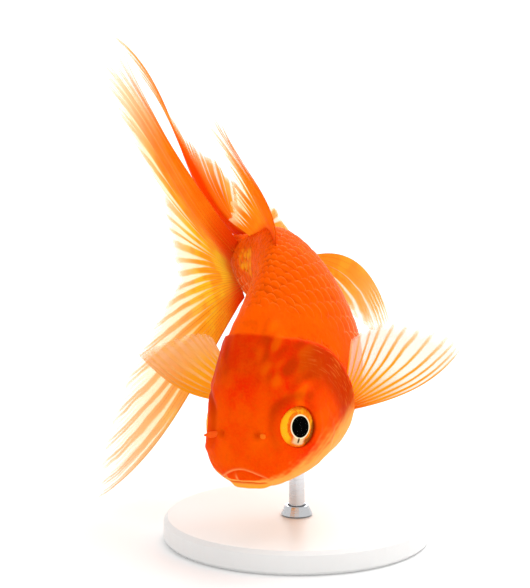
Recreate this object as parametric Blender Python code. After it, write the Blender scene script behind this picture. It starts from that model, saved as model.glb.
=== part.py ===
"""Fantail goldfish, a still life-size display model held on a stand.

Fish coordinates (millimetres) run from the tip of the snout: x forward, y to the fish's left, z up.
The body is a loft along a spine that bends to the fish's right; every fin is a fan of rays.
"""
import bmesh
import bpy
import numpy as np
from functools import lru_cache
from math import cos, pi, radians, sin
from mathutils import Matrix, Vector

MM = 0.001

# ---- spine: straight head, then a smooth turn to the right -------------------------------------
BEND_FROM, BEND_TO, BEND_ANGLE = 28.0, 59.0, radians(77)
BODY_END = 65.0

# ---- body profiles, as (station along the spine, size) -----------------------------------------
HALF_WIDTH = ((0, 0.6), (0.4, 3.2), (1, 5.0), (3, 8.1), (6, 10.3), (10, 11.9), (15, 12.9), (20, 13.1),
              (26, 12.4), (32, 11.2), (38, 10.0), (43, 8.8), (48, 7.4), (53, 5.8), (58, 4.5), (62, 3.9), (64, 2.9), (65, 1.0))
BACK_LINE = ((0, 0.2), (0.4, 1.9), (1, 3.2), (3, 6.6), (6, 11.0), (10, 15.6), (15, 19.8), (20, 22.6),
             (26, 24.6), (32, 26.4), (38, 27.6), (43, 27.5), (48, 25.6), (53, 22.4), (58, 20.0), (62, 19.3), (64, 17.6), (65, 14.5))
BELLY_LINE = ((0, -0.5), (0.4, -2.0), (1, -3.0), (3, -4.8), (6, -6.6), (10, -8.6), (15, -10.6), (20, -12.0),
              (26, -13.0), (32, -13.4), (38, -12.8), (43, -10.4), (48, -6.2), (53, -0.8), (58, 3.4), (62, 4.8), (64, 6.6), (65, 9.5))
WIDEST_HEIGHT = ((0, 0.0), (6, 1.2), (15, 1.8), (26, 1.4), (38, 2.8), (48, 7.0), (58, 11.4), (64, 12.0))
BACK_POWER = ((0, 0.91), (6, 0.80), (14, 0.93), (20, 1.05), (27, 1.22), (40, 1.25), (50, 1.1), (64, 0.85))
BELLY_POWER = ((0, 0.91), (26, 0.92), (44, 1.0), (64, 0.85))
HEAD_END, TRUNK_END, SPLIT_GAP = 27.0, 53.0, 0.3

# ---- eyes, mouth, nostrils, gill covers --------------------------------------------------------
EYE_RADIUS, EYE_DEPTH = 4.0, 2.6
EYE_CENTRE = (-9.6, 9.2, 6.0)
EYE_AXIS = (0.25, 0.93, 0.25)
SOCKET_GAP = 0.3
MOUTH_CENTRE, MOUTH_SIZE, MOUTH_TILT = (-0.1, 0.0, -0.7), (2.1, 3.4, 0.4), radians(12)
NOSTRIL_CENTRE, FLAP_SIZE = (-5.0, 6.3, 7.3), (1.0, 0.5, 1.3)
GILL_STATION, GILL_REACH = 20.9, 5.3
GILL_ANGLE, GILL_SPREAD = radians(-8), radians(42)
GILL_RISE, GILL_SINK, GILL_GAP = 0.25, 0.55, 0.3

# ---- fins --------------------------------------------------------------------------------------
# A guide ray: root offsets (along, outward, up), then pairs of angles (rise, splay) in degrees at the
# root, half way and at the tip, then its length. "Rise" turns from straight back to straight up, and
# "splay" turns outward from that plane.
FIN_THICKNESS = 0.6
TAIL_STATION, PECTORAL_BASE = 61.0, (-26.0, 10.8, -4.5)
TAIL_RIGHT = [
    (-2.4, 3, 18.8, 66, 2, 85, 2, 47, 0, 51),
    (-1.9, 3, 17.5, 55, 0, 80, 2, 50, 0, 47),
    (-1.4, 3, 15.8, 42, -2, 66, -4, 54, -4, 37),
    (-1.1, 3, 14.2, 24, -8, 34, -12, 44, -14, 26.5),
    (-0.8, 3, 12.6, 6, -12, 4, -12, 0, -10, 24.5),
    (-0.6, 3, 11, -10, -14, -20, -4, -28, 4, 25.5),
    (-0.4, 3, 9.2, -26, -8, -32, 14, -32, 28, 35),
    (-0.2, 3, 7.4, -42, 20, -46, 36, -32, 44, 46),
    (0, 3, 5.8, -54, 42, -60, 50, -26, 50, 52),
]
TAIL_LEFT = [
    (-0.8, 3.1, 18.5, 21, 2, 92, 0, 42, -2, 53),
    (-1.0, 3.1, 17.6, 20, 4, 56, 8, 82, 12, 24),
    (-1.2, 3, 16.6, 20, 12, 44, 22, 60, 30, 19),
    (-1.1, 3, 14.6, 18, 28, 22, 40, 14, 46, 19),
    (-0.8, 3, 12.6, 6, 44, -14, 50, -32, 50, 21),
    (-0.6, 3, 10.6, -22, 57, -62, 48, -88, 12, 33),
    (-0.4, 3, 8.4, -62, 59, -88, 38, -96, -14, 46),
    (-0.2, 3, 6.4, -90, 60, -92, 46, -94, -12, 53),
]
PECTORAL_LEFT = [
    (0, 0, 0, -6, 68, -6, 44, 2, 24, 26.5),
    (0, 0, 1, 6, 56, 8, 38, 12, 24, 24.5),
    (-0.5, 0, 2, 20, 44, 24, 30, 26, 20, 20.5),
    (-1, 0, 3, 38, 30, 40, 20, 42, 14, 17),
    (-1.5, 0, 4, 58, 20, 58, 13, 56, 8, 12.5),
]
PECTORAL_RIGHT = [
    (0, 0, 0, 0, 84, 20, 80, 44, 60, 29),
    (0, 0, 1, 10, 76, 28, 70, 44, 56, 27.5),
    (-0.5, 0, 2, 22, 64, 36, 58, 46, 50, 23),
    (-1, 0, 3, 36, 52, 44, 46, 50, 40, 18),
    (-1.5, 0, 4, 50, 40, 52, 36, 54, 32, 14),
]
PELVIC_STATION, PELVIC_FRAME = 30.0, 38.0
PELVIC = [
    (0, 3.2, 1.0, -24, 14, -12, 8, -4, 4, 17),
    (1.2, 3.2, 1.1, -18, 10, -8, 6, 0, 2, 15),
    (2.4, 3.1, 1.2, -12, 6, -4, 3, 2, 0, 12),
    (3.4, 3.0, 1.3, -6, 2, 0, 0, 4, -2, 9),
]
ANAL_STATION = 51.5
ANAL = [
    (0, 1.9, 1.6, -62, 16, -48, 12, -30, 6, 16),
    (1.3, 1.9, 1.9, -52, 13, -40, 9, -24, 5, 14.5),
    (2.6, 1.8, 2.2, -42, 10, -30, 7, -18, 4, 11.5),
    (3.8, 1.7, 2.6, -30, 7, -20, 5, -12, 3, 8.5),
]
# Dorsal guide rays: station on the back, then the angle pairs and the length.
DORSAL_SINK = 1.2
DORSAL = [
    (38.5, 36, -6, 78, 10, 62, -2, 30),
    (41.5, 40, -4, 74, 9, 60, 2, 26.5),
    (45, 44, -1, 70, 9, 58, 5, 21),
    (48.5, 48, 1, 62, 8, 54, 7, 16),
    (52, 52, 2, 58, 6, 50, 6, 10.5),
    (55, 52, 2, 50, 6, 44, 6, 6.5),
]

# ---- pose of the fish on its stand -------------------------------------------------------------
NOSE_DOWN, LEFT_SIDE_UP = radians(30), radians(4.7)
SNOUT = (1.0, -25.0, 18.5)
BASE_RADIUS, BASE_HEIGHT, BASE_BEVEL = 27.0, 5.0, 0.8
ROD_RADIUS, ROD_REACH = 1.6, 26.0
COLLAR_RADIUS, COLLAR_HEIGHT = 3.2, 1.8

# ---- colours: (red, green, blue), roughness, metallic ------------------------------------------
LOOKS = {
    "head_skin": ((0.93, 0.075, 0.008), 0.32, 0.0),
    "body_scales": ((0.93, 0.115, 0.008), 0.30, 0.0),
    "fin_orange": ((0.95, 0.23, 0.03), 0.40, 0.0),
    "eye_gold": ((0.75, 0.45, 0.12), 0.12, 0.0),
    "stand_white": ((0.86, 0.86, 0.85), 0.35, 0.0),
    "stand_steel": ((0.62, 0.63, 0.65), 0.25, 1.0),
}


@lru_cache(maxsize=None)
def smooth(profile, s):
    """Value at s of the monotone cubic through (station, value) pairs."""
    x, y = np.array(profile, float).T
    h = np.diff(x)
    d = np.diff(y) / h
    m = np.concatenate([[d[0]], np.zeros(len(x) - 2), [d[-1]]])
    for i in range(1, len(x) - 1):
        if d[i - 1] * d[i] > 0:
            a, b = 2 * h[i] + h[i - 1], h[i] + 2 * h[i - 1]
            m[i] = (a + b) / (a / d[i - 1] + b / d[i])
    i = int(np.clip(np.searchsorted(x, s) - 1, 0, len(x) - 2))
    t = (s - x[i]) / h[i]
    return (y[i] * (1 + 2 * t) * (1 - t) ** 2 + h[i] * m[i] * t * (1 - t) ** 2
            + y[i + 1] * t * t * (3 - 2 * t) + h[i] * m[i + 1] * t * t * (t - 1))


def heading(s):
    t = min(max((s - BEND_FROM) / (BEND_TO - BEND_FROM), 0), 1)
    return BEND_ANGLE * t * t * (3 - 2 * t)


@lru_cache(maxsize=None)
def spine(s, steps=200):
    ds = s / steps
    along = [heading((i + 0.5) * ds) for i in range(steps)]
    return Vector((-ds * sum(cos(a) for a in along), -ds * sum(sin(a) for a in along), 0))


def leftward(s):
    return Vector((-sin(heading(s)), cos(heading(s)), 0))


def backward(s):
    return Vector((-cos(heading(s)), -sin(heading(s)), 0))


UP = Vector((0, 0, 1))


def section(s, angle):
    """(y, z) of the body's skin at a station, for an angle that runs from the left side over the back."""
    mid = smooth(WIDEST_HEIGHT, s)
    up = sin(angle) >= 0
    power = smooth(BACK_POWER if up else BELLY_POWER, s)
    height = smooth(BACK_LINE, s) - mid if up else mid - smooth(BELLY_LINE, s)
    side = 1 if cos(angle) >= 0 else -1
    return smooth(HALF_WIDTH, s) * side * abs(cos(angle)) ** power, mid + height * sin(angle)


def skin(s, angle, rise=0.0):
    """A point of the skin in fish coordinates, or rise millimetres outside it."""
    y, z = section(s, angle)
    if rise:
        (y0, z0), (y1, z1) = section(s, angle - 0.05), section(s, angle + 0.05)
        length = max(((y1 - y0) ** 2 + (z1 - z0) ** 2) ** 0.5, 1e-9)
        y, z = y + rise * (z1 - z0) / length, z - rise * (y1 - y0) / length
    return spine(s) + leftward(s) * y + UP * z


def add(name, bm, look, helper=False, parent=None):
    """Put a closed bmesh into the scene as one object."""
    bmesh.ops.recalc_face_normals(bm, faces=bm.faces)
    if bm.calc_volume(signed=True) < 0:
        bmesh.ops.reverse_faces(bm, faces=bm.faces)
    mesh = bpy.data.meshes.new(name)
    bm.to_mesh(mesh)
    bm.free()
    mesh.polygons.foreach_set("use_smooth", [True] * len(mesh.polygons))
    mesh.materials.append(material(look))
    obj = bpy.data.objects.new(name, mesh)
    obj.parent = parent
    bpy.context.scene.collection.objects.link(obj)
    if helper:
        obj.hide_render = True
        obj.display_type = "WIRE"
    return obj


def material(look):
    found = bpy.data.materials.get(look)
    if found:
        return found
    made = bpy.data.materials.new(look)
    made.use_nodes = True
    shader = made.node_tree.nodes["Principled BSDF"]
    colour, roughness, metallic = LOOKS[look]
    shader.inputs["Base Color"].default_value = (*colour, 1)
    shader.inputs["Roughness"].default_value = roughness
    shader.inputs["Metallic"].default_value = metallic
    return made


def cut(obj, cutter, how="DIFFERENCE"):
    boolean = obj.modifiers.new(cutter.name, "BOOLEAN")
    boolean.operation, boolean.solver, boolean.object = how, "EXACT", cutter


def loft(name, stations, look, segments=32, rise=0.0, helper=False):
    """Closed body between the first and the last station: rings bridged in turn, with flat ends."""
    bm = bmesh.new()
    rings = []
    for s in stations:
        ring = bmesh.ops.create_circle(bm, segments=segments, radius=1)["verts"]
        for k, vert in enumerate(ring):
            vert.co = MM * (skin(s, 2 * pi * (k + 0.5) / segments, rise))
        rings.append(ring)
    edges = [list({e for v in ring for e in v.link_edges}) for ring in rings]
    for near, far in zip(edges[:-1], edges[1:]):
        bmesh.ops.bridge_loops(bm, edges=near + far)
    for end in (edges[0], edges[-1]):
        bmesh.ops.contextual_create(bm, geom=end)
    return add(name, bm, look, helper, parent=pose)


def ellipsoid(name, centre, axis, size, look, segments=20, rings=12, helper=False, tilt=0.0):
    """Sphere stretched to the given radii; its local Z lies along the axis."""
    bm = bmesh.new()
    bmesh.ops.create_uvsphere(bm, u_segments=segments, v_segments=rings, radius=1)
    turn = Vector(axis).to_track_quat("Z", "Y").to_matrix() @ Matrix.Rotation(tilt, 3, "Y")
    for vert in bm.verts:
        local = Vector((vert.co.x * size[0], vert.co.y * size[1], vert.co.z * size[2]))
        vert.co = MM * (Vector(centre) + turn @ local)
    return add(name, bm, look, helper, parent=pose)


def gill_patch(name, side, margin, rise, sink, look, helper=False):
    """Plate that follows the cheek: two rounded patches of the skin, bridged at their rims."""
    bm = bmesh.new()
    reach, spread = GILL_REACH + margin, GILL_SPREAD + margin / 12
    for level in (rise, -sink):
        for vert in bmesh.ops.create_grid(bm, x_segments=7, y_segments=8, size=1)["verts"]:
            u, v = vert.co.x, vert.co.y
            s = GILL_STATION + reach * u * (1 - v * v / 2) ** 0.5
            angle = GILL_ANGLE + spread * v * (1 - u * u / 2) ** 0.5
            vert.co = MM * (skin(s, angle if side > 0 else pi - angle, level))
    bmesh.ops.bridge_loops(bm, edges=[e for e in bm.edges if e.is_boundary])
    return add(name, bm, look, helper, parent=pose)


def guide(rows, count):
    """Rows spread evenly over a fan, with smooth curves between the given ones."""
    rows = np.array(rows, float)
    first, last = 2 * rows[0] - rows[1], 2 * rows[-1] - rows[-2]
    ends = np.vstack([first, rows, last])
    out = []
    for u in np.linspace(0, len(rows) - 1, count):
        i = min(int(u), len(rows) - 2)
        t = u - i
        a, b, c, d = ends[i:i + 4]
        out.append(0.5 * (2 * b + (c - a) * t + (2 * a - 5 * b + 4 * c - d) * t * t
                          + (3 * b - a - 3 * c + d) * t ** 3))
    return out


def ray(root, angles, length, along, out, count, steps=48):
    """Points of one ray whose direction turns smoothly from root to tip."""
    rise0, splay0, rise1, splay1, rise2, splay2 = [radians(a) for a in angles]
    point, points = Vector(root), [Vector(root)]
    for i in range(steps):
        v = (i + 0.5) / steps
        a, b, c = (1 - v) * (1 - 2 * v), 4 * v * (1 - v), v * (2 * v - 1)
        rise, splay = a * rise0 + b * rise1 + c * rise2, a * splay0 + b * splay1 + c * splay2
        step = (along * cos(rise) + UP * sin(rise)) * cos(splay) + out * sin(splay)
        point = point + step * (length / steps)
        points.append(point)
    return [points[round(k * steps / (count - 1))] for k in range(count)]


def fan(name, rays, thickness=FIN_THICKNESS):
    """Thin solid over a fan of rays."""
    bm = bmesh.new()
    across, outward = len(rays), len(rays[0])
    bmesh.ops.create_grid(bm, x_segments=across - 1, y_segments=outward - 1, size=0.5)
    for vert in bm.verts:
        i, k = round((vert.co.x + 0.5) * (across - 1)), round((vert.co.y + 0.5) * (outward - 1))
        vert.co = MM * rays[i][k]
    bmesh.ops.recalc_face_normals(bm, faces=bm.faces)
    bm.normal_update()
    sheet = list(bm.faces)
    bmesh.ops.solidify(bm, geom=sheet, thickness=thickness * MM)
    return add(name, bm, "fin_orange", parent=pose)


def fin(name, rows, origin, station, side, across, outward):
    along, out = backward(station), leftward(station) * side
    rays = []
    for row in guide(rows, across):
        root = Vector(origin) + along * row[0] + out * row[1] + UP * row[2]
        rays.append(ray(root, row[3:9], row[9], along, out, outward))
    return fan(name, rays)


def dorsal(name, rows, across, outward):
    rays = []
    for row in guide(rows, across):
        s = row[0]
        root = skin(s, pi / 2) - UP * DORSAL_SINK
        rays.append(ray(root, row[1:7], row[7], backward(s), -leftward(s), outward))
    return fan(name, rays)


# ---- start from an empty scene -----------------------------------------------------------------
for old in list(bpy.data.objects):
    bpy.data.objects.remove(old, do_unlink=True)

# ---- the whole fish hangs on one empty that holds its pose -------------------------------------
pose = bpy.data.objects.new("fish_pose", None)
turn = Matrix.Rotation(radians(-90), 3, "Z") @ Matrix.Rotation(NOSE_DOWN, 3, "Y")
pose.rotation_euler = (turn @ Matrix.Rotation(LEFT_SIDE_UP, 3, "X")).to_euler()
pose.location = Vector(SNOUT) * MM
bpy.context.scene.collection.objects.link(pose)

# ---- body: three lofts end to end --------------------------------------------------------------
half = SPLIT_GAP / 2
nose_stations = [0, 0.4, 1, 2, 3.2, 4.6, 6.2, 8]
head = loft("head", nose_stations + list(np.linspace(10, HEAD_END - half, 9)), "head_skin", 28)
trunk = loft("trunk", np.linspace(HEAD_END + half, TRUNK_END - half, 11), "body_scales", 30)
stalk = loft("tail_stalk", [TRUNK_END + half, 55.5, 58, 60, 62, 63.2, 64.2, BODY_END], "body_scales", 24)
whole = loft("clearance_body", nose_stations + list(np.linspace(10, 62, 21)) + [63.2, 64.2, BODY_END + 0.3],
             "body_scales", 32, rise=0.3, helper=True)

# ---- eyes in their sockets ---------------------------------------------------------------------
for side, label in ((1, "left"), (-1, "right")):
    centre = (EYE_CENTRE[0], side * EYE_CENTRE[1], EYE_CENTRE[2])
    axis = (EYE_AXIS[0], side * EYE_AXIS[1], EYE_AXIS[2])
    ellipsoid("eye_" + label, centre, axis, (EYE_RADIUS, EYE_RADIUS, EYE_DEPTH), "eye_gold")
    wide = [size + SOCKET_GAP for size in (EYE_RADIUS, EYE_RADIUS, EYE_DEPTH)]
    cut(head, ellipsoid("socket_" + label, centre, axis, wide, "head_skin", 14, 8, helper=True))

# ---- nostril flaps, mouth slit -----------------------------------------------------------------
for side, label in ((1, "left"), (-1, "right")):
    at = (NOSTRIL_CENTRE[0], side * NOSTRIL_CENTRE[1], NOSTRIL_CENTRE[2])
    flap = ellipsoid("flap_" + label, at, (0.3, side * 0.5, 0.8), FLAP_SIZE, "head_skin", 12, 8, helper=True)
    cut(head, flap, "UNION")
mouth = ellipsoid("mouth_slit", MOUTH_CENTRE, (0, 0, 1), MOUTH_SIZE, "head_skin", 14, 8, helper=True,
                  tilt=MOUTH_TILT)
cut(head, mouth)

# ---- gill covers, each let into the cheek ------------------------------------------------------
for side, label in ((1, "left"), (-1, "right")):
    gill_patch("gill_cover_" + label, side, 0.0, GILL_RISE, GILL_SINK, "head_skin")
    bed = gill_patch("gill_bed_" + label, side, GILL_GAP, 1.2, GILL_SINK + GILL_GAP, "head_skin", helper=True)
    cut(head, bed)

# ---- fins, each ending just clear of the body --------------------------------------------------
tail_origin = spine(TAIL_STATION)
fins = [
    dorsal("dorsal_fin", DORSAL, 15, 8),
    fin("tail_fin_right", TAIL_RIGHT, tail_origin, TAIL_STATION, -1, 25, 10),
    fin("tail_fin_left", TAIL_LEFT, tail_origin, TAIL_STATION, 1, 25, 10),
    fin("pectoral_fin_left", PECTORAL_LEFT, PECTORAL_BASE, 0, 1, 14, 8),
    fin("pectoral_fin_right", PECTORAL_RIGHT, (PECTORAL_BASE[0], -PECTORAL_BASE[1], PECTORAL_BASE[2]),
        0, -1, 14, 8),
]
for side, label in ((1, "left"), (-1, "right")):
    belly = spine(PELVIC_STATION) + UP * smooth(BELLY_LINE, PELVIC_STATION)
    fins.append(fin("pelvic_fin_" + label, PELVIC, belly, PELVIC_FRAME, side, 8, 6))
    vent = spine(ANAL_STATION) + UP * smooth(BELLY_LINE, ANAL_STATION)
    fins.append(fin("anal_fin_" + label, ANAL, vent, ANAL_STATION, side, 8, 6))
for one in fins:
    cut(one, whole)

# ---- stand: round foot, collar and one rod up to the belly -------------------------------------
bm = bmesh.new()
bmesh.ops.create_cone(bm, cap_ends=True, segments=48, radius1=BASE_RADIUS * MM, radius2=BASE_RADIUS * MM,
                      depth=BASE_HEIGHT * MM)
bmesh.ops.translate(bm, verts=bm.verts, vec=(0, 0, BASE_HEIGHT / 2 * MM))
rims = [e for e in bm.edges if abs(e.verts[0].co.z - e.verts[1].co.z) < 1e-7]
bmesh.ops.bevel(bm, geom=rims, offset=BASE_BEVEL * MM, offset_type="OFFSET", segments=1, profile=0.5,
                affect="EDGES", material=-1)
add("stand_base", bm, "stand_white")

bm = bmesh.new()
bmesh.ops.create_cone(bm, cap_ends=True, segments=20, radius1=COLLAR_RADIUS * MM,
                      radius2=(COLLAR_RADIUS - 0.8) * MM, depth=COLLAR_HEIGHT * MM)
bmesh.ops.translate(bm, verts=bm.verts, vec=(0, 0, (BASE_HEIGHT + 0.3 + COLLAR_HEIGHT / 2) * MM))
collar = add("stand_collar", bm, "stand_steel")

bm = bmesh.new()
bmesh.ops.create_cone(bm, cap_ends=True, segments=16, radius1=ROD_RADIUS * MM, radius2=ROD_RADIUS * MM,
                      depth=ROD_REACH * MM)
bmesh.ops.translate(bm, verts=bm.verts, vec=(0, 0, (BASE_HEIGHT + 0.3 + ROD_REACH / 2) * MM))
rod = add("stand_rod", bm, "stand_steel")
cut(rod, whole)

bm = bmesh.new()
bmesh.ops.create_cone(bm, cap_ends=True, segments=16, radius1=(ROD_RADIUS + 0.3) * MM,
                      radius2=(ROD_RADIUS + 0.3) * MM, depth=(COLLAR_HEIGHT + 4) * MM)
bmesh.ops.translate(bm, verts=bm.verts, vec=(0, 0, (BASE_HEIGHT + 0.3 + COLLAR_HEIGHT / 2) * MM))
cut(collar, add("collar_bore", bm, "stand_steel", helper=True))
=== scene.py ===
# %% [markdown]
# # A fantail goldfish on its stand
#
# This lesson dresses a plain solid goldfish. The solids already have the true outline and size,
# so every new piece is worked out in the same coordinates and lies over the solid that it replaces.
# What is missing is everything the eye calls "fish": one skin without seams, a wet gold-rimmed eye,
# overlapping scales, and fins thin enough to let the light through.

# %% Load the solids as a fixed frame
from math import cos, pi, radians, sin

import bmesh
import bpy
import numpy as np
from mathutils import Matrix, Vector

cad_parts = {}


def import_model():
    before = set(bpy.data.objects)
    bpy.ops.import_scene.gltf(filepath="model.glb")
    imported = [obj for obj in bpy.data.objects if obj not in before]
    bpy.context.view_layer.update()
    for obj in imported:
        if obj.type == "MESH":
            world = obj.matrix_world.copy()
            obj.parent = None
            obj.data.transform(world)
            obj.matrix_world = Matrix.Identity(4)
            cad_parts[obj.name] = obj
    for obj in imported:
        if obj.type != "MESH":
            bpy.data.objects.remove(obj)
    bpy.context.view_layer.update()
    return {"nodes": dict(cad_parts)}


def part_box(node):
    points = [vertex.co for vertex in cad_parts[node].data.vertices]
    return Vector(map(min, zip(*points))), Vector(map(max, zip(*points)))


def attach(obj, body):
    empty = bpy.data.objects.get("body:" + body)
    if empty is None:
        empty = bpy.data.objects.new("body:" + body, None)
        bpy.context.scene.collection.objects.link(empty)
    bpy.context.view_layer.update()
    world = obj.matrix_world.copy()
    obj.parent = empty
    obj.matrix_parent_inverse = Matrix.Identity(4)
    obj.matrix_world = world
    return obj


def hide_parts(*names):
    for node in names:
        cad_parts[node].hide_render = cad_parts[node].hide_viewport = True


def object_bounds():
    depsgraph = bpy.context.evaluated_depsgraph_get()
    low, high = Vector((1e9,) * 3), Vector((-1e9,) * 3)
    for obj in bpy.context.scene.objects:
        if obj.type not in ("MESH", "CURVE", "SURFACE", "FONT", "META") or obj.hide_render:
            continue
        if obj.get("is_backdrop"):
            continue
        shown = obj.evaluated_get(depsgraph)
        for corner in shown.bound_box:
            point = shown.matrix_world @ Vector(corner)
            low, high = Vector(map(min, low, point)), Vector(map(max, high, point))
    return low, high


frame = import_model()
MM = 0.001

# %% [markdown]
# ## The body as a set of curves
#
# A fish body is easiest to describe by slices across a bent backbone. Fish coordinates are in
# millimetres from the tip of the snout: x forward, y to the fish's left, z up. Each profile below
# gives one size at a few stations along the backbone, and a monotone cubic joins them smoothly.
# The profiles are those of the solids, so the skin lands on them. Only the right side of the head is
# pressed in a little, as it is when a fish bends to that side. Angles round a slice run from the
# left side over the back, and a station is a distance along the backbone.

# %% Profiles along the backbone
BEND_FROM, BEND_TO, BEND_ANGLE = 28.0, 59.0, radians(77)
BODY_END = 65.0
HALF_WIDTH = ((0, 0.6), (0.4, 3.2), (1, 5.0), (3, 8.1), (6, 10.3), (10, 11.9), (15, 12.9), (20, 13.1),
              (26, 12.4), (32, 11.2), (38, 10.0), (43, 8.8), (48, 7.4), (53, 5.8), (58, 4.5), (62, 3.9),
              (64, 2.9), (65, 1.0))
BACK_LINE = ((0, 0.2), (0.4, 1.9), (1, 3.2), (3, 6.6), (6, 11.0), (10, 15.6), (15, 19.8), (20, 22.6),
             (26, 24.6), (32, 26.4), (38, 27.6), (43, 27.5), (48, 25.6), (53, 22.4), (58, 20.0), (62, 19.3),
             (64, 17.6), (65, 14.5))
BELLY_LINE = ((0, -0.5), (0.4, -2.0), (1, -3.0), (3, -4.8), (6, -6.6), (10, -8.6), (15, -10.6), (20, -12.0),
              (26, -13.0), (32, -13.4), (38, -12.8), (43, -10.4), (48, -6.2), (53, -0.8), (58, 3.4), (62, 4.8),
              (64, 6.6), (65, 9.5))
WIDEST_HEIGHT = ((0, 0.0), (6, 1.2), (15, 1.8), (26, 1.4), (38, 2.8), (48, 7.0), (58, 11.4), (64, 12.0))
RIGHT_SHARE = ((0, 1), (5, 1), (9, 0.91), (20, 0.90), (28, 0.95), (36, 1), (65, 1))
BACK_POWER = ((0, 0.91), (6, 0.80), (14, 0.93), (20, 1.05), (27, 1.22), (40, 1.25), (50, 1.1), (64, 0.85))
BELLY_POWER = ((0, 0.91), (26, 0.92), (44, 1.0), (64, 0.85))


def curve(profile):
    """The monotone cubic through (place, value) pairs, as a function that takes arrays."""
    x, y = np.array(profile, float).T
    h = np.diff(x)
    d = np.diff(y) / h
    one_way = d[:-1] * d[1:] > 0
    before, after = np.where(one_way, d[:-1], 1), np.where(one_way, d[1:], 1)
    a, b = 2 * h[1:] + h[:-1], h[1:] + 2 * h[:-1]
    m = np.concatenate([[d[0]], np.where(one_way, (a + b) / (a / before + b / after), 0), [d[-1]]])

    def at(s):
        i = np.clip(np.searchsorted(x, s) - 1, 0, len(x) - 2)
        t = (s - x[i]) / h[i]
        return (y[i] * (1 + 2 * t) * (1 - t) ** 2 + h[i] * m[i] * t * (1 - t) ** 2
                + y[i + 1] * t * t * (3 - 2 * t) + h[i] * m[i + 1] * t * t * (t - 1))
    return at


half_width, back_line, belly_line = curve(HALF_WIDTH), curve(BACK_LINE), curve(BELLY_LINE)
widest_height, back_power, belly_power = curve(WIDEST_HEIGHT), curve(BACK_POWER), curve(BELLY_POWER)
right_share = curve(RIGHT_SHARE)


def rising(low, high, x):
    """0 below low, 1 above high and a smooth step between them."""
    t = np.clip((x - low) / (high - low), 0, 1)
    return t * t * (3 - 2 * t)


def within(x, start, full, fading, end):
    """0 below start, 1 from full to fading and 0 above end, with smooth steps between."""
    return rising(start, full, x) * rising(end, fading, x)


def hump(x, width):
    """1 at 0, falling away like a bell on both sides."""
    return np.exp(-(x / width) ** 2)


# %% Backbone, slices and the pose
SPINE_LENGTH, SPINE_POINTS = 70, 2801
SLICE_STEP = 0.05
PINCH, PINCH_FROM, PINCH_TO = 0.62, 58.5, 64.5
UP = np.array([0, 0, 1])
STATIONS = np.linspace(0, SPINE_LENGTH, SPINE_POINTS)
HEADINGS = BEND_ANGLE * rising(BEND_FROM, BEND_TO, STATIONS)
BETWEEN = HEADINGS[:-1] + np.diff(HEADINGS) / 2
SPINE_X, SPINE_Y = (-np.concatenate([[0], np.cumsum(part(BETWEEN))]) * STATIONS[1] for part in (np.cos, np.sin))


def heading(s):
    return np.interp(s, STATIONS, HEADINGS)


def spine(s):
    s = np.asarray(s, float)
    return np.stack([np.interp(s, STATIONS, SPINE_X), np.interp(s, STATIONS, SPINE_Y), 0 * s], -1)


def leftward(s):
    return np.stack([-np.sin(heading(s)), np.cos(heading(s)), 0 * np.asarray(s, float)], -1)


def backward(s):
    return np.stack([-np.cos(heading(s)), -np.sin(heading(s)), 0 * np.asarray(s, float)], -1)


def slice_point(s, angle):
    """(y, z) on the slice at station s; the angle runs from the left side over the back."""
    mid = widest_height(s)
    above = np.sin(angle) >= 0
    power = np.where(above, back_power(s), belly_power(s))
    height = np.where(above, back_line(s) - mid, mid - belly_line(s))
    across = np.cos(angle)
    share = (1 - PINCH * rising(PINCH_FROM, PINCH_TO, s)) * np.where(across < 0, right_share(s), 1)
    return share * half_width(s) * np.sign(across) * np.abs(across) ** power, mid + height * np.sin(angle)


def skin_point(s, angle, rise=0.0):
    """Points of the skin in fish coordinates, rise millimetres outside it."""
    y, z = slice_point(s, angle)
    (y0, z0), (y1, z1) = slice_point(s, angle - SLICE_STEP), slice_point(s, angle + SLICE_STEP)
    length = np.maximum(np.hypot(y1 - y0, z1 - z0), 1e-9)
    y, z = y + rise * (z1 - z0) / length, z - rise * (y1 - y0) / length
    return spine(s) + leftward(s) * y[..., None] + UP * z[..., None]


NOSE_DOWN, LEFT_SIDE_UP = radians(30), radians(4.7)
SNOUT = np.array([1.0, -25.0, 18.5])
TURN = np.array(Matrix.Rotation(radians(-90), 3, "Z") @ Matrix.Rotation(NOSE_DOWN, 3, "Y")
                @ Matrix.Rotation(LEFT_SIDE_UP, 3, "X"))


def world(points):
    """Fish coordinates in millimetres to the frame's metres."""
    return (np.asarray(points) @ TURN.T + SNOUT) * MM


ring = skin_point(np.repeat(np.linspace(0, BODY_END, 80), 80), np.tile(np.linspace(0, 2 * pi, 80), 80))
low = Vector(np.min([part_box(n)[0] for n in ("head", "trunk", "tail_stalk")], axis=0))
print("skin against the solids, lowest corner in mm:", (world(ring).min(0) / MM).round(1), low / MM)

# %% [markdown]
# ## Mesh and paint helpers
#
# A few small helpers do the bookkeeping: they read, move and soften the points of a bmesh, turn
# its faces outwards, and make it a finished piece that rides on the model. A paint helper builds
# shader nodes, one call a node.

# %% Mesh helpers
SIDES = ((1, "left"), (-1, "right"))


def unit(vector):
    """The vector at length 1."""
    return vector / np.linalg.norm(vector)


def mirrored(vector, side):
    """A point or direction of the left side, taken to the side asked for."""
    return np.asarray(vector) * (1, side, 1)


def coords(verts):
    return np.array([v.co for v in verts])


def set_coords(verts, points):
    for vert, point in zip(verts, points):
        vert.co = point


def place(verts, points):
    """Moves bmesh vertices to points given in fish coordinates."""
    set_coords(verts, world(points))


def soften(bm, verts, times):
    """Evens out a patch of the mesh."""
    for _ in range(times):
        bmesh.ops.smooth_vert(bm, verts=verts, factor=0.5, use_axis_x=True, use_axis_y=True, use_axis_z=True)


def face_outwards(bm):
    bmesh.ops.recalc_face_normals(bm, faces=bm.faces)
    if bm.calc_volume(signed=True) < 0:
        bmesh.ops.reverse_faces(bm, faces=bm.faces)


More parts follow.
